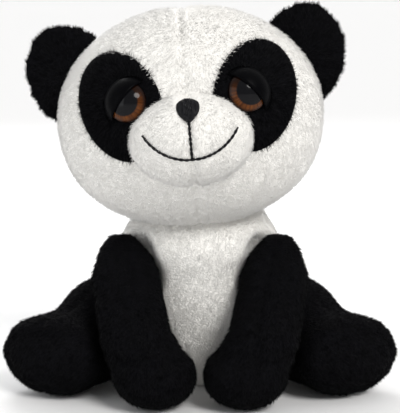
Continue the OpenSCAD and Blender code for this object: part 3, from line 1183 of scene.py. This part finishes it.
        pile = self.finishes.black_pile(length=2.6, stray=0.3, per_mm2=1.8).grow(
            f"eye_patch_pile_{name}", leaf, 20 + side.value, cover, comb
        )
        for piece in (leaf, pile):
            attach(piece, "head")
        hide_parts(f"eye_patch_{name}")

    def thread_gap(self, points: Array) -> Array:
        """How far points on the muzzle lie from the nose and mouth stitching, seen from the front."""
        own = self.place.into(points)
        x, z = own[:, 0], own[:, 2]
        radius, low = self.smile_arc()
        arc = np.abs(np.hypot(x, z - low - radius) - radius)
        arc = np.where((np.abs(x) < self.smile_width / 2 + 1) & (z < low + self.smile_rise + 1.5), arc, 99.0)
        upright = np.where((z > low) & (z < self.nose_up), np.abs(x), 99.0)
        nose = np.maximum(np.abs(x) - self.nose_half(z), 0.0) + 99.0 * (self.nose_half(z) <= 0)
        return np.minimum(np.minimum(arc, upright) - self.stitch / 2, nose)

    def nose_half(self, z: Array) -> Array:
        """Half the nose's width at a height, zero above and below it: a shield with a broad round top."""
        up = (z - self.nose_up) / self.nose[1]
        flank = 0.08 + 0.42 * np.sin(np.clip((up + 0.5) / 0.62, 0, 1) * math.pi / 2) ** 0.75
        crown = np.sqrt(np.clip(1 - (np.maximum(up - 0.16, 0) / 0.345) ** 3.0, 0, 1))
        return np.where(np.abs(up) <= 0.5, flank * crown * self.nose[0], 0.0)

    def smile_arc(self) -> tuple[float, float]:
        """The smile's radius and the height of its lowest point."""
        half = self.smile_width / 2
        return (half**2 + self.smile_rise**2) / (2 * self.smile_rise), -14.3

    def on_muzzle(self, x: Array, z: Array, lift: Array | float, tilt: float = 0.0) -> Array:
        """Points on the muzzle in front of (x, z) of the head, lifted off it.

        Args:
            x: Across the head.
            z: Up the head.
            lift: How far off the skin.
            tilt: How far the lines of projection run downward, in degrees, about the nose's height.

        Returns:
            The points in the frame's axes.
        """
        lean = turn_x(-tilt)
        pivot = np.array([0, self.muzzle_y - self.muzzle_radii[1], self.nose_up if tilt else 0.0])
        starts = np.stack([x, np.full_like(x, -self.depth / 2), z - pivot[2]], 1) @ lean.T + pivot
        way = self.place.turn @ lean @ np.array([0, 1.0, 0])
        hits, _ = self.muzzle_surface.hit(self.place.out(starts), way)
        own = self.place.into(hits) - np.array([0, self.muzzle_y, -self.muzzle_drop])
        out = unit(own / self.muzzle_radii**2) @ self.place.turn.T
        return hits + out * np.reshape(lift, (-1, 1))

    def build_nose(self) -> None:
        """Embroiders the nose: a crowned shield of upright satin stitches."""
        columns, rows = 60, 34
        top, low = self.nose_up + self.nose[1] / 2, self.nose_up - self.nose[1] / 2
        heights = np.linspace(low + 0.05, top - 0.05, rows)
        across = np.linspace(-1, 1, columns)
        grid_x, grid_z, crown = [], [], []
        for z in heights:
            half = float(self.nose_half(np.array([z]))[0])
            end = min(z - low, top - z) / (self.nose[1] / 2)
            for s in across:
                grid_x.append(s * half)
                grid_z.append(z)
                dome = math.sqrt(max(0.0, 1 - s * s)) * min(1.0, 3.5 * end) ** 0.5
                crown.append(0.3 + 1.5 * bell(s * half, 2.6) + 1.7 * dome + 0.18 * dome * math.cos(s * half * 2 * math.pi / 0.95))
        x, z = np.array(grid_x), np.array(grid_z)
        crown_heights = np.array(crown)
        front = self.on_muzzle(x, z, crown_heights, self.nose_tilt)
        back = self.on_muzzle(x, z, -1.2, self.nose_tilt)
        count = rows * columns
        faces: list[tuple[int, ...]] = []
        for r in range(rows - 1):
            for c in range(columns - 1):
                a = r * columns + c
                faces.append((a, a + 1, a + columns + 1, a + columns))
                faces.append((count + a, count + a + columns, count + a + columns + 1, count + a + 1))
        for r in range(rows - 1):
            a, b = r * columns, r * columns + columns - 1
            faces.append((a, a + columns, count + a + columns, count + a))
            faces.append((b, count + b, count + b + columns, b + columns))
        for c in range(columns - 1):
            a, b = c, (rows - 1) * columns + c
            faces.append((a, count + a, count + a + 1, a + 1))
            faces.append((b, b + 1, count + b + 1, count + b))
        nose = mesh_piece("nose_stitching", np.vstack([front, back]), faces)
        bm = bmesh.new()
        bm.from_mesh(nose.data)
        bmesh.ops.recalc_face_normals(bm, faces=bm.faces)
        bm.to_mesh(nose.data)
        bm.free()
        dress(nose, self.finishes.thread)
        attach(nose, "head")
        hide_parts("nose")

    def build_mouth(self) -> None:
        """Embroiders the upright stitch and the smile as two plied cords of thread."""
        radius, low = self.smile_arc()
        half_angle = math.asin(self.smile_width / 2 / radius)
        angles = np.linspace(-half_angle, half_angle, 90)
        runs = [
            (radius * np.sin(angles), low + radius * (1 - np.cos(angles))),
            (np.zeros(40), np.linspace(low + 0.4, self.nose_up - self.nose[1] / 2 + 0.8, 40)),
        ]
        points, faces = [], []
        for x, z in runs:
            path = self.on_muzzle(x, z, 0.6)
            for ply in (0.0, math.pi):
                along = np.arange(len(path)) * (2 * math.pi / 9.0) + ply
                step = unit(np.gradient(path, axis=0))
                across = unit(np.cross(step, self.place.turn @ np.array([0, 1.0, 0])))
                wound = path + 0.34 * (across * np.cos(along)[:, None]) + 0.30 * np.sin(along)[:, None] * (
                    self.place.turn @ np.array([0, -1.0, 0])
                )
                taper = np.minimum(1.0, 0.6 + np.minimum(np.arange(len(path)), np.arange(len(path))[::-1]) / 6)
                p, f = tube(wound, self.stitch / 2 * 0.72 * taper, 8)
                faces += [tuple(i + sum(len(q) for q in points) for i in face) for face in f]
                points.append(p)
        mouth = mesh_piece("mouth_stitching", np.vstack(points), faces)
        dress(mouth, self.finishes.thread)
        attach(mouth, "head")
        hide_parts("mouth")

    def eye_place(self, side: Side) -> Place:
        """An eye's own axes: z out of the head, y up the face."""
        x = self.eye_gap / 2
        y = -self.radii[1] * math.sqrt(1 - (x / self.radii[0]) ** 2 - (self.eye_up / self.radii[2]) ** 2)
        turn = self.place.turn @ turn_z(side.value * self.eye_splay) @ turn_x(90 - self.eye_tilt)
        return Place(self.place.out([side.value * x, y, self.eye_up]), turn)

    def dome(self, radius: float, rise: float, base: float, skirt: float) -> tuple[Array, list[tuple[int, ...]]]:
        """A closed dome on a short skirt, about its own z axis.

        Args:
            radius: Of its foot.
            rise: Its height.
            base: The height of its foot.
            skirt: How far its wall goes on down.

        Returns:
            Its points and faces.
        """
        rings, spokes = 22, 64
        ball = (radius**2 + rise**2) / (2 * rise)
        top = math.asin(min(1.0, radius / ball))
        profile = [(ball * math.sin(top * k / rings), base + rise - ball * (1 - math.cos(top * k / rings))) for k in range(1, rings + 1)]
        profile.append((radius - 0.1, base - skirt))
        points = [[0, 0, base + rise]]
        for r, z in profile:
            for k in range(spokes):
                a = 2 * math.pi * k / spokes
                points.append([r * math.cos(a), r * math.sin(a), z])
        points.append([0, 0, base - skirt])
        faces: list[tuple[int, ...]] = []
        for k in range(spokes):
            n = (k + 1) % spokes
            faces.append((0, 1 + k, 1 + n))
            for ring in range(len(profile) - 1):
                a = 1 + ring * spokes
                faces.append((a + k, a + spokes + k, a + spokes + n, a + n))
            a = 1 + (len(profile) - 1) * spokes
            faces.append((a + k, len(points) - 1, a + n))
        return np.array(points), faces

    def lid(self, inner: float, outer: float, middle: float, low: float) -> tuple[Array, list[tuple[int, ...]]]:
        """Half a thin ball shell with a rounded lip, about the eye's z axis.

        Args:
            inner: The shell's inner radius.
            outer: Its outer radius.
            middle: The height of the ball's middle.
            low: The height where the shell stops against the patch.

        Returns:
            Its points and faces: it covers the half where y is above a line just over the middle.
        """
        rows, columns = 26, 40
        grid = []
        half_way = (inner + outer) / 2
        thick = (outer - inner) / 2
        start = math.asin(0.06)
        end = math.acos(np.clip((low - middle) / half_way, -1, 1))
        for r in range(rows + 1):
            for c in range(columns + 1):
                swing = start + (end - start) * r / rows
                reach = math.pi * c / columns
                grid.append((swing, reach))
        points = []
        for layer in (thick, -thick):
            for swing, reach in grid:
                lip = min(1.0, ((swing - start) / 0.09 + 0.05)) ** 0.5
                ball = half_way + layer * lip
                # reach runs ear to ear along the lip, swing tips the arc back from the lip to the foot
                x = -math.cos(reach)
                arc = math.sin(reach)
                y, z = arc * math.sin(swing), arc * math.cos(swing)
                points.append([ball * x, ball * y, max(middle + ball * z, low - 0.2)])
        count = len(grid)
        wide = columns + 1
        faces: list[tuple[int, ...]] = []
        for r in range(rows):
            for c in range(columns):
                a = r * wide + c
                faces.append((a, a + 1, a + wide + 1, a + wide))
                faces.append((count + a, count + a + wide, count + a + wide + 1, count + a + 1))
        for c in range(columns):
            faces.append((c, count + c, count + c + 1, c + 1))
            a = rows * wide + c
            faces.append((a, a + 1, count + a + 1, count + a))
        for r in range(rows):
            a, b = r * wide, r * wide + columns
            faces.append((a, a + wide, count + a + wide, count + a))
            faces.append((b, count + b, count + b + wide, b + wide))
        return np.array(points), faces

    def build_eye(self, side: Side) -> None:
        """Fits one eye: glossy dome with its iris, and the black half lid over it."""
        name = side.name.lower()
        place = self.eye_place(side)
        points, faces = self.dome(self.eye_width / 2, self.eye_dome, self.eye_lift, 1.6)
        eye = mesh_piece(f"eye_{name}", place.out(points), faces)
        # the lower inner side, toward which the iris is painted lit
        inner_low = place.turn @ unit(np.array([-0.35 * side.value, -1.0, 0.0]))
        colours = EyeColours(place.origin, place.turn[:, 2], inner_low, self.pupil, self.eye_width / 2)
        dress(eye, colours.material(f"eye_glass_{name}"))
        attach(eye, "head")
        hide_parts(f"eye_lens_{name}", f"eye_iris_{name}")
        ball = ((self.eye_width / 2) ** 2 + self.eye_dome**2) / (2 * self.eye_dome)
        middle = self.eye_lift + self.eye_dome - ball
        points, faces = self.lid(ball + 0.25, ball + 1.25, middle, self.eye_lift - 0.8)
        points = points @ turn_z(-side.value * self.lid_slant).T
        lid = mesh_piece(f"eyelid_shell_{name}", place.out(points), faces)
        bm = bmesh.new()
        bm.from_mesh(lid.data)
        bmesh.ops.recalc_face_normals(bm, faces=bm.faces)
        bm.to_mesh(lid.data)
        bm.free()
        dress(lid, self.finishes.lid)
        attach(lid, "head")
        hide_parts(f"eyelid_{name}")
        dress(frame["nodes"][f"eye_back_{name}"], self.finishes.stem)
        dress(frame["nodes"][f"eye_washer_{name}"], self.finishes.washer)

    def build(self) -> None:
        """Builds everything on the head once the skins are filled."""
        self.build_skins()
        self.build_nose()
        self.build_mouth()
        for side in Side:
            self.build_patch(side)
            self.build_eye(side)


# ---------------------------------------------------------------- ears


@dataclass
class Ear:
    """One round black ear on the side seam, cupped a little to the front."""

    finishes: Finishes
    filling: Filling
    head: Head
    side: Side
    width: float = 47.0
    thick: float = 11.0
    height: float = 58.0
    angle: float = 27.0
    lean: float = 20.0
    seat: float = 0.96
    cup: float = 3.0

    def start(self) -> None:
        """Lines up the ear's skin for filling."""
        a = math.radians(self.angle)
        own = [
            self.side.value * self.seat * self.head.width / 2 * math.cos(a),
            self.head.side_seam,
            self.seat * self.head.height / 2 * math.sin(a),
        ]
        turn = self.head.place.turn @ turn_y(self.side.value * self.lean)
        self.place = Place(self.head.place.out(own), turn)
        radii = np.array([self.width, self.thick, self.height]) / 2
        self.skin = self.filling.add(
            Stuffed(
                f"ear_skin_{self.side.name.lower()}",
                [Blob(self.place.origin, radii + np.array([0.2, 0.6, 0.2]), turn)],
                [self.edge_seam],
                voxel=3.2,
                soften=1,
                swell=1.0,
                groove=0.5,
                levels=1,
                shape=self.cupped,
            )
        )

    def cupped(self, points: Array) -> Array:
        """Bends the flat ear so that its rim comes forward."""
        own = self.place.into(points)
        across = np.hypot(own[:, 0] / (self.width / 2), own[:, 2] / (self.height / 2))
        own[:, 1] -= self.cup * across**2 - self.cup / 2
        return self.place.out(own)

    def edge_seam(self, points: Array) -> Array:
        """How far points lie from the seam round the ear's edge."""
        own = self.place.into(points)
        rim = np.hypot(own[:, 0] / (self.width / 2), own[:, 2] / (self.height / 2))
        return np.where(rim > 0.8, own[:, 1] + self.cup * rim**2 - self.cup / 2, 9.0)

    def build(self) -> None:
        """Dresses the ear and stands its pile."""
        name = self.side.name.lower()
        dress(self.skin, self.finishes.black_back)

        def cover(points: Array, normals: Array) -> Array:
            """Only what stands outside the head."""
            own = self.head.place.into(points)
            return ease(np.linalg.norm(own / self.head.radii, axis=1), 0.99, 1.02)

        def comb(points: Array) -> Array:
            """Brushed outwards to the rim."""
            return points - self.place.origin

        pile = self.finishes.black_pile(length=2.2, per_mm2=1.6).grow(
            f"ear_pile_{name}", self.skin, 30 + self.side.value, cover, comb
        )
        out = unit(self.place.origin - self.head.place.origin)
        start = self.place.origin + out * 1.0
        end = self.place.origin + out * 9.0
        for piece in (self.skin, pile):
            tuple(start * MM)
            tuple(end * MM)
            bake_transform(piece)
        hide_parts(f"ear_front_{name}", f"ear_back_{name}", f"ear_stuffing_{name}")


# ---------------------------------------------------------------- limbs


@dataclass
class Arm:
    """One arm: flat upper arm, full forearm, and a broad paw that rests on the ground."""

    finishes: Finishes
    filling: Filling
    side: Side
    width: float = 36.5
    depth: float = 25.0
    length: float = 62.0
    forearm: float = 36.0
    paw: tuple[float, float, float] = (43.0, 40.0, 32.5)
    lean: float = 38.6
    turn_in: float = 15.5
    above_joint: float = 11.0
    top: float = 12.0
    swing_room: float = 2.0
    paw_seam_at: float = 28.0

    def start(self) -> None:
        """Lines up the arm's skin for filling."""
        name = self.side.name.lower()
        s = self.side.value
        turn = turn_z(-s * self.turn_in) @ turn_x(-self.lean)
        up = turn[:, 2]
        joint = joint_point(f"arm_swing_{name}")
        self.middle = joint - up * (self.length / 2 - self.above_joint)
        self.turn = turn
        way = turn_z(-s * self.turn_in) @ np.array([0, 1.0, 0])
        forearm = self.middle - 17.1 * way - np.array([0, 0, 21.2])
        low, high = box_mm(f"paw_{name}")
        paw = np.array([(low[0] + high[0]) / 2, low[1] + self.paw[1] / 2, low[2] + self.paw[2] / 2])
        paw[0] = s * (self.paw[0] / 2 + 0.8)
        self.blobs = [
            Blob(self.middle, np.array([self.width, self.depth, self.length]) / 2, turn),
            Blob(forearm, np.full(3, self.forearm / 2)),
            Blob(paw, np.array(self.paw) / 2),
        ]
        bridge = (self.middle + forearm) / 2
        shrunk = [Blob(b.centre, b.radii + 0.1, b.turn) for b in self.blobs]
        filled = shrunk + [
            Blob(bridge, np.array([self.width / 2, self.width / 2 - 2.5, self.width / 2]), turn),
            Blob((forearm + paw) / 2, np.array([18.5, 17.5, 15.0])),
            Blob(
                self.middle + up * (self.length / 2 - self.top),
                np.array([self.top, self.top * 0.8, self.top + 3.0]),
                turn,
            ),
        ]
        self.skin = self.filling.add(
            Stuffed(
                f"arm_skin_{name}",
                filled,
                [self.panel_seam, self.paw_seam],
                voxel=4.2,
                soften=5,
                swell=2.2,
                groove=1.0,
                levels=1,
            )
        )
        # the shoulder's own room in the torso, where the arm's top tips back as the arm swings up
        swept = self.above_joint + self.swing_room
        self.blobs.append(Blob(joint, np.array([self.width / 2 - 3.0, swept, swept])))

    def panel_seam(self, points: Array) -> Array:
        """How far points lie from the seam between the inner and outer panels."""
        own = (points - self.middle) @ turn_z(-self.side.value * self.turn_in)
        return np.where(points[:, 2] > self.paw_seam_at, own[:, 0], 9.0)

    def paw_seam(self, points: Array) -> Array:
        """How far points lie from the seam round the wrist."""
        return points[:, 2] - self.paw_seam_at - 0.12 * (points[:, 1] - self.blobs[2].centre[1])

    def build(self) -> None:
        """Dresses the arm."""
        name = self.side.name.lower()
        dress(self.skin, self.finishes.black_back)

        def cover(points: Array, normals: Array) -> Array:
            """Everywhere, thin under the paw."""
            return ease(points[:, 2], 0.5, 2.0)

        def comb(points: Array) -> Array:
            """Brushed down the arm."""
            return np.tile([0.0, -0.35, -1.0], (len(points), 1))

        pile = self.finishes.black_pile().grow(f"arm_pile_{name}", self.skin, 40 + self.side.value, cover, comb)
        for piece in (self.skin, pile):
            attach(piece, f"arm_{name}")
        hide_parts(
            f"arm_inner_{name}", f"arm_outer_{name}", f"paw_{name}", f"arm_stuffing_{name}"
        )


@dataclass
class Leg:
    """One leg: round thigh, ankle and a broad foot whose sole turns forward and out."""

    finishes: Finishes
    filling: Filling
    side: Side
    thigh: float = 55.0
    ankle: float = 42.0
    reach: float = 41.0
    forward: float = 49.0
    foot: tuple[float, float, float] = (59.0, 35.0, 42.0)
    sole_turn: float = 30.0
    sole_out: float = 13.5

    def start(self) -> None:
        """Lines up the leg's skin for filling."""
        name = self.side.name.lower()
        s = self.side.value
        hip = joint_point(f"leg_splay_{name}")
        a = math.radians(self.forward)
        self.way = np.array([s * math.cos(a), -math.sin(a), 0])
        self.hip = hip
        ankle = np.array([hip[0], hip[1], self.ankle / 2 + 0.1]) + 0.54 * self.reach * self.way
        foot = np.array([hip[0], hip[1], self.foot[2] / 2 + 0.1]) + self.reach * self.way
        self.foot_place = Place(foot, turn_z(s * self.sole_turn))
        self.blobs = [
            Blob(hip, np.full(3, self.thigh / 2)),
            Blob(ankle, np.full(3, self.ankle / 2)),
            Blob(foot, np.array(self.foot) / 2, self.foot_place.turn),
        ]
        between = (hip + ankle) / 2
        shrunk = [Blob(b.centre, b.radii + 0.1, b.turn) for b in self.blobs]
        filled = shrunk + [
            Blob(between, np.array([25.0, 25.0, 24.0])),
            Blob((ankle + foot) / 2, np.array([24.0, 20.0, 21.0]), self.foot_place.turn),
        ]
        self.skin = self.filling.add(
            Stuffed(
                f"leg_skin_{name}",
                filled,
                [self.panel_seam, self.sole_seam],
                voxel=4.6,
                soften=5,
                swell=2.2,
                groove=1.1,
                levels=1,
            )
        )

    def panel_seam(self, points: Array) -> Array:
        """How far points lie from the seam along the leg."""
        across = np.array([-self.way[1], self.way[0], 0])
        own = self.foot_place.into(points)
        return np.where(own[:, 1] > -self.sole_out, (points - self.hip) @ across, 9.0)

    def sole_seam(self, points: Array) -> Array:
        """How far points lie from the oval seam round the sole."""
        own = self.foot_place.into(points)
        flat = np.hypot(own[:, 0] / (self.foot[0] / 2), own[:, 2] / (self.foot[2] / 2))
        on_front = own[:, 1] < 0
        return np.where(on_front, (flat - 0.68) * self.foot[2] / 2, 9.0)

    def build(self) -> None:
        """Dresses the leg."""
        name = self.side.name.lower()
        dress(self.skin, self.finishes.black_back)

        def cover(points: Array, normals: Array) -> Array:
            """Everywhere, thin underneath."""
            return ease(points[:, 2], 0.5, 2.0)

        def comb(points: Array) -> Array:
            """Brushed towards the foot."""
            return np.tile(self.way + np.array([0, 0, -0.6]), (len(points), 1))

        pile = self.finishes.black_pile().grow(f"leg_pile_{name}", self.skin, 50 + self.side.value, cover, comb)
        for piece in (self.skin, pile):
            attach(piece, f"leg_{name}")
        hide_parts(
            f"leg_inner_{name}", f"leg_outer_{name}", f"foot_sole_{name}", f"leg_stuffing_{name}"
        )


# ---------------------------------------------------------------- torso


@dataclass
class Torso:
    """The barrel body, hollowed where the limbs press on it, with its closing stitches and blank label."""

    finishes: Finishes
    filling: Filling
    limbs: Sequence[Arm | Leg]
    head: Head
    width: float = 94.0
    depth: float = 72.0
    round_height: float = 132.0
    middle: float = 46.0
    limb_room: float = 1.3
    floor: float = 0.4

    def start(self) -> None:
        """Lines up the torso's skin for filling."""
        radii = np.array([self.width, self.depth, self.round_height]) / 2
        shoulders = Blob(np.array([0, -6.0, 72.0]), np.array([43.0, 31.0, 22.0]))
        self.skin = self.filling.add(
            Stuffed(
                "torso_skin",
                [Blob(np.array([0, 0, self.middle]), radii - 0.8), shoulders],
                [self.side_seam, self.back_seam],
                voxel=4.6,
                soften=4,
                swell=2.4,
                groove=0.9,
                levels=1,
                shape=self.shape,
                settle=self.pressed,
            )
        )

    def shape(self, points: Array) -> Array:
        """Flattens the seat, ends the top under the head and hollows the limbs' places.

        Args:
            points: The barrel's points.

        Returns:
            The body's points.
        """
        shaped = points.copy()
        neck = self.head.neck
        # the top closes inside the head, so that the two skins meet in one crease round the neck
        roof = neck[2] + 9.0
        over = np.maximum(shaped[:, 2] - (roof - 8.0), 0)
        shaped[:, 2] = np.where(over > 0, roof - 8.0 + 8.0 * np.tanh(over / 8.0), shaped[:, 2])
        under = np.maximum(6.0 - shaped[:, 2], 0)
        shaped[:, 2] = np.where(under > 0, 6.0 - (6.0 - self.floor) * np.tanh(under / 5.6), shaped[:, 2])
        return self.pressed(shaped)

    def pressed(self, points: Array) -> Array:
        """Draws points that lie inside a limb in towards the body's middle.

        Args:
            points: The body's points.

        Returns:
            The points, all clear of the limbs.
        """
        clear = points.copy()
        axis = np.stack([np.zeros(len(clear)), np.full(len(clear), 4.0), clear[:, 2]], 1)
        for _ in range(56):
            inside = np.zeros(len(clear), bool)
            for limb in self.limbs:
                for blob in limb.blobs:
                    inside |= blob.level(clear, self.limb_room) < 1
            clear[inside] += unit(axis - clear)[inside] * 0.5
        clear[:, 2] = np.maximum(clear[:, 2], self.floor)
        return clear

    def side_seam(self, points: Array) -> Array:
        """How far points lie from the seams down the sides."""
        return np.where(points[:, 2] > 8, points[:, 1], 9.0)

    def back_seam(self, points: Array) -> Array:
        """How far points lie from the seam down the back."""
        return np.where((points[:, 1] > 0) & (points[:, 2] > 4), points[:, 0], 9.0)

    def follow(self, piece: bpy.types.Object) -> bpy.types.Object:
        """Bakes a piece's placement into its mesh."""
        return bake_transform(piece)

    def build(self) -> None:
        """Dresses the body."""
        dress(self.skin, self.finishes.white_back)
        head_blob = Blob(self.head.place.origin, self.head.radii, self.head.place.turn)

        def cover(points: Array, normals: Array) -> Array:
            """Outside the head and clear of the floor."""
            return ease(head_blob.level(points), 0.985, 1.0) * ease(points[:, 2], 0.6, 2.5)

        def comb(points: Array) -> Array:
            """Brushed down, a little to either side of the middle."""
            way = np.tile([0.0, 0.0, -1.0], (len(points), 1))
            way[:, 0] = 0.25 * np.tanh(points[:, 0] / 20)
            return way

        pile = self.finishes.white_pile(length=2.1, stray=0.14).grow("torso_pile", self.skin, 60, cover, comb)
        for piece in (self.skin, pile):
            self.follow(piece)
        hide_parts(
            "belly_panel", "back_left", "back_right", "seat_panel", "torso_stuffing", "neck_stuffing"
        )
        self.surface = Surface(self.skin)
        dress(frame["nodes"]["pellet_pouch"], self.finishes.cotton)
        dress(frame["nodes"]["pellets"], self.finishes.beads)
        dress(frame["nodes"]["neck_thread"], self.finishes.white_thread)

    def build_stitches(self) -> None:
        """Closes the back with a row of slanted hand stitches."""
        low, high = box_mm("closing_stitches")
        count, half = 7, (high[0] - low[0]) / 2
        points, faces = [], []
        for k in range(count):
            z = low[2] + (high[2] - low[2]) * (k + 0.5) / count
            steps = np.linspace(-1, 1, 12)
            starts = np.stack([steps * half, np.full(12, 80.0), z + steps * 1.2], 1)
            hits, normals = self.surface.hit(starts, np.array([0, -1.0, 0]))
            path = hits + normals * (1.9 - 1.5 * steps[:, None] ** 2)
            p, f = tube(path, np.full(12, 0.45), 8)
            faces += [tuple(i + sum(len(q) for q in points) for i in face) for face in f]
            points.append(p)
        stitches = mesh_piece("closing_hand_stitches", np.vstack(points), faces)
        dress(stitches, self.finishes.white_thread)
        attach(stitches, "torso")
        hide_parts("closing_stitches")

    def build_label(self) -> None:
        """Sews the blank folded ribbon into the seat seam at the back."""
        low, high = box_mm("label")
        middle, half = (low[0] + high[0]) / 2, (high[0] - low[0]) / 2
        columns, rows, thick = 12, 22, 0.35
        points = []
        for layer in (1, -1):
            for r in range(rows + 1):
                t = r / rows
                y = low[1] - 3.0 + (high[1] - low[1] + 3.0) * t
                z = 2.2 - 1.1 * math.sin(t * math.pi) + 0.8 * t**2
                gap = 0.9 * math.sin(min(1.0, t * 1.15) * math.pi) ** 0.7 if t < 0.87 else 0.35
                for c in range(columns + 1):
                    s = 2 * c / columns - 1
                    points.append([middle + s * half, y, z + layer * (thick / 2 + gap / 2) + 0.25 * s * t])
        wide, count = columns + 1, (rows + 1) * (columns + 1)
        faces: list[tuple[int, ...]] = []
        for r in range(rows):
            for c in range(columns):
                a = r * wide + c
                faces.append((a, a + 1, a + wide + 1, a + wide))
                faces.append((count + a, count + a + wide, count + a + wide + 1, count + a + 1))
        for c in range(columns):
            faces.append((c, count + c, count + c + 1, c + 1))
            a = rows * wide + c
            faces.append((a, a + 1, count + a + 1, count + a))
        for r in range(rows):
            a, b = r * wide, r * wide + columns
            faces.append((a, a + wide, count + a + wide, count + a))
            faces.append((b, count + b, count + b + wide, b + wide))
        label = mesh_piece("blank_label", np.array(points), faces)
        dress(label, self.finishes.ribbon)
        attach(label, "torso")
        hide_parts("label")


# ---------------------------------------------------------------- studio


@dataclass
class Studio:
    """A pale floor, soft lights and the camera."""

    distance: float = 0.7
    elevation: float = 9.0
    look_at: float = 0.0919
    lens: float = 115.15
    floor_half: float = 60.0
    behind: float = 0.9
    before: float = 0.40

    def light(self, name: str, at: tuple[float, float, float], size: float, watts: float, tint: Colour) -> None:
        """An area light aimed at the panda."""
        data = bpy.data.lights.new(name, "AREA")
        data.shape = "SQUARE"
        data.size = size
        data.energy = watts
        data.color = tint
        lamp = bpy.data.objects.new(name, data)
        lamp.location = at
        lamp.rotation_euler = (Vector((0, 0, self.look_at)) - Vector(at)).to_track_quat("-Z", "Y").to_euler()
        bpy.context.scene.collection.objects.link(lamp)

    def sun(self, towards: tuple[float, float, float], spread: float, strength: float, tint: Colour) -> None:
        """The wide main light, the same all over the floor."""
        data = bpy.data.lights.new("key", "SUN")
        data.angle = math.radians(spread)
        data.energy = strength
        data.color = tint
        lamp = bpy.data.objects.new("key", data)
        lamp.rotation_euler = (-Vector(towards)).to_track_quat("-Z", "Y").to_euler()
        bpy.context.scene.collection.objects.link(lamp)

    def build(self) -> None:
        """Sets up floor, world, lights and camera."""
        half = self.floor_half / MM
        floor = mesh_piece(
            "studio_floor", np.array([[-half, -half, 0], [half, -half, 0], [half, half, 0], [-half, half, 0]]), [(0, 1, 2, 3)]
        )
        s = Shader("floor_paper")
        fibre = s.noise(40.0, 3.0)
        dress(floor, s.finish({"Base Color": s.mix(fibre, (0.86, 0.86, 0.86), (0.84, 0.84, 0.845)), "Roughness": 0.7}))
        world = bpy.data.worlds.new("studio")
        world.use_nodes = True
        sky = world.node_tree
        way = sky.nodes.new("ShaderNodeTexCoord")
        split = sky.nodes.new("ShaderNodeSeparateXYZ")
        ramp = sky.nodes.new("ShaderNodeMapRange")
        ramp.interpolation_type = "SMOOTHSTEP"
        for socket, value in (("From Min", -0.9), ("From Max", 0.6), ("To Min", self.before), ("To Max", self.behind)):
            ramp.inputs[socket].default_value = value
        sky.links.new(way.outputs["Generated"], split.inputs[0])
        sky.links.new(split.outputs[1], ramp.inputs["Value"])
        sky.links.new(ramp.outputs[0], sky.nodes["Background"].inputs["Strength"])
        sky.nodes["Background"].inputs["Color"].default_value = (1, 1, 1, 1)
        bpy.context.scene.world = world
        self.sun((0.62, -0.95, 0.95), 24.0, 2.15, (1.0, 0.985, 0.965))
        self.light("fill", (-0.9, -0.7, 0.35), 0.7, 2.5, (0.96, 0.98, 1.0))
        self.light("back", (-0.2, 0.9, 0.8), 0.6, 6.0, (1.0, 1.0, 1.0))
        data = bpy.data.cameras.new("camera")
        data.lens = self.lens
        data.sensor_width = 36.0
        data.sensor_fit = "AUTO"
        camera = bpy.data.objects.new("camera", data)
        tilt = math.radians(self.elevation)
        camera.location = (0, -self.distance * math.cos(tilt), self.look_at + self.distance * math.sin(tilt))
        camera.rotation_euler = (math.pi / 2 - tilt, 0, 0)
        bpy.context.scene.collection.objects.link(camera)
        bpy.context.scene.camera = camera
        bpy.context.scene.view_settings.view_transform = "Standard"


def main() -> None:
    """Builds the panda piece by piece."""
    logging.basicConfig(level=logging.INFO, format="%(name)s: %(message)s")
    finishes, filling = Finishes(), Filling()
    Studio().build()
    head = Head(finishes, filling)
    ears = [Ear(finishes, filling, head, side) for side in Side]
    limbs = [kind(finishes, filling, side) for kind in (Arm, Leg) for side in Side]
    torso = Torso(finishes, filling, limbs, head)
    for form in (head, *ears, *limbs, torso):
        form.start()
    filling.run()
    for form in (head, *ears, *limbs, torso):
        form.build()
        LOG.info("built %s", type(form).__name__)
    torso.build_stitches()
    torso.build_label()


if __name__ == "__main__":
    main()
